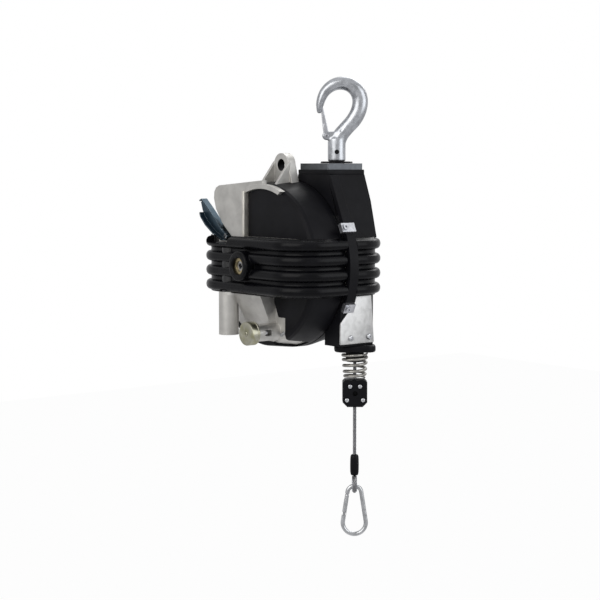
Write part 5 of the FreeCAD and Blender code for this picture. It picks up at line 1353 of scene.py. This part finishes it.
# ------------------------------------------------------------------ studio
@dataclass
class Studio:
    """Camera, lamps, white surroundings and the floor below the hanging balancer."""

    azimuth: float = math.radians(52.0)
    distance: float = 2000.0
    height: float = 130.0
    aim: tuple[float, float, float] = (6.65, 8.5, -36.9)
    drop: float = -0.015
    lens: float = 90.1
    floor_z: float = -2.8
    mirrored: float = 0.3

    def spot(self, x: float, y: float, z: float) -> Vector:
        """Row position of a place given in millimetres from the drum's centre."""
        return Place.DRUM.matrix() @ Vector((x, y, z))

    def camera(self) -> None:
        """Set the camera up and make it the scene's own."""
        data = bpy.data.cameras.new("camera")
        data.lens = self.lens
        data.sensor_width = 36.0
        data.shift_y = self.drop
        data.clip_end = 50.0
        obj = bpy.data.objects.new("camera", data)
        bpy.context.scene.collection.objects.link(obj)
        obj.location = self.spot(self.distance * math.sin(self.azimuth), -self.distance * math.cos(self.azimuth),
                                 self.height)
        sight = self.spot(*self.aim) - obj.location
        obj.rotation_euler = sight.to_track_quat("-Z", "Y").to_euler()
        bpy.context.scene.camera = obj
        LOG.info("camera: lens %.1f mm", data.lens)

    def lamp(self, name: str, place: Sequence[float], size: float, power: float,
             colour: Sequence[float] = (1.0, 1.0, 1.0)) -> None:
        """Hang a square soft lamp that faces the balancer.

        Args:
            name: Name of the lamp.
            place: Direction and distance in the camera's own axes, right, towards the camera and up, in metres.
            size: Side of the lamp in metres.
            power: Power in watts.
            colour: Colour of its light.
        """
        data = bpy.data.lights.new(name, "AREA")
        data.size = size
        data.energy = power
        data.color = colour
        obj = bpy.data.objects.new(name, data)
        bpy.context.scene.collection.objects.link(obj)
        right = Vector((math.cos(self.azimuth), math.sin(self.azimuth), 0.0))
        near = Vector((math.sin(self.azimuth), -math.cos(self.azimuth), 0.0))
        centre = self.spot(0.0, 0.0, -50.0)
        obj.location = centre + right * place[0] + near * place[1] + Vector((0.0, 0.0, place[2]))
        obj.rotation_euler = (centre - obj.location).to_track_quat("-Z", "Y").to_euler()

    def surroundings(self) -> None:
        """White to the camera and in reflections, darker towards the ground for everything else."""
        world = bpy.data.worlds.new("studio")
        bpy.context.scene.world = world
        world.use_nodes = True
        nodes, links = world.node_tree.nodes, world.node_tree.links
        nodes.clear()
        out = nodes.new("ShaderNodeOutputWorld")
        soft, white = nodes.new("ShaderNodeBackground"), nodes.new("ShaderNodeBackground")
        soft.inputs["Strength"].default_value = 1.0
        white.inputs["Color"].default_value = (1.0, 1.0, 1.0, 1.0)
        coords, split, ramp = (nodes.new("ShaderNodeTexCoord"), nodes.new("ShaderNodeSeparateXYZ"),
                               nodes.new("ShaderNodeValToRGB"))
        links.new(coords.outputs["Generated"], split.inputs["Vector"])
        lift = nodes.new("ShaderNodeMapRange")
        lift.inputs["From Min"].default_value = -1.0
        links.new(split.outputs["Z"], lift.inputs["Value"])
        links.new(lift.outputs["Result"], ramp.inputs["Fac"])
        stops = [(0.0, 0.30), (0.42, 0.42), (0.5, 0.62), (0.62, 0.34), (0.85, 0.62), (1.0, 0.9)]
        while len(ramp.color_ramp.elements) < len(stops):
            ramp.color_ramp.elements.new(0.5)
        for element, (position, level) in zip(ramp.color_ramp.elements, stops):
            element.position = position
            element.color = (level, level, level * 1.02, 1.0)
        links.new(ramp.outputs["Color"], soft.inputs["Color"])
        path, mix = nodes.new("ShaderNodeLightPath"), nodes.new("ShaderNodeMixShader")
        shown = path.outputs["Is Camera Ray"]
        for ray, share in (("Is Glossy Ray", self.mirrored), ("Is Transmission Ray", 1.0)):
            part = nodes.new("ShaderNodeMath")
            part.operation = "MULTIPLY_ADD"
            part.use_clamp = True
            part.inputs[1].default_value = share
            links.new(path.outputs[ray], part.inputs[0])
            links.new(shown, part.inputs[2])
            shown = part.outputs["Value"]
        links.new(shown, mix.inputs["Fac"])
        links.new(soft.outputs["Background"], mix.inputs[1])
        links.new(white.outputs["Background"], mix.inputs[2])
        links.new(mix.outputs["Shader"], out.inputs["Surface"])

    def floor(self) -> None:
        """Lay the pale floor far below the balancer."""
        bm = bmesh.new()
        bmesh.ops.create_grid(bm, x_segments=1, y_segments=1, size=14.0,
                              matrix=Matrix.Translation((0.0, 0.0, self.floor_z)))
        mesh = bpy.data.meshes.new("floor")
        bm.to_mesh(mesh)
        bm.free()
        material = bpy.data.materials.new("floor")
        material.use_nodes = True
        nodes, links = material.node_tree.nodes, material.node_tree.links
        shader = nodes["Principled BSDF"]
        shader.inputs["Base Color"].default_value = (0.86, 0.86, 0.86, 1.0)
        shader.inputs["Roughness"].default_value = 0.9
        glow, path, mix = (nodes.new("ShaderNodeEmission"), nodes.new("ShaderNodeLightPath"),
                           nodes.new("ShaderNodeMixShader"))
        share = nodes.new("ShaderNodeMath")
        share.operation = "MULTIPLY"
        share.inputs[1].default_value = 0.96
        links.new(path.outputs["Is Camera Ray"], share.inputs[0])
        links.new(share.outputs["Value"], mix.inputs["Fac"])
        links.new(shader.outputs["BSDF"], mix.inputs[1])
        links.new(glow.outputs["Emission"], mix.inputs[2])
        links.new(mix.outputs["Shader"], nodes["Material Output"].inputs["Surface"])
        mesh.materials.append(material)
        obj = bpy.data.objects.new("floor", mesh)
        bpy.context.scene.collection.objects.link(obj)

    def build(self) -> None:
        """Set up the whole studio."""
        bpy.context.scene.view_settings.view_transform = "Standard"
        self.camera()
        self.surroundings()
        self.floor()
        self.lamp("key", (-1.6, 1.9, 1.3), 2.4, 36.0, (1.0, 0.985, 0.96))
        self.lamp("fill", (2.1, 1.2, 0.7), 2.0, 20.0, (0.96, 0.98, 1.0))
        self.lamp("back", (0.9, -1.8, 1.7), 1.8, 22.0)


def main() -> None:
    """Build the balancer part by part."""
    logging.basicConfig(level=logging.INFO, format="%(name)s: %(message)s")
    Studio().build()
    RopeEnd().build()
    Housing().build()
    Drive().build()
    BumperBelt().build()
    SwivelHook().build()
    RopeGuide().build()
    Controls().build()


if __name__ == "__main__":
    main()
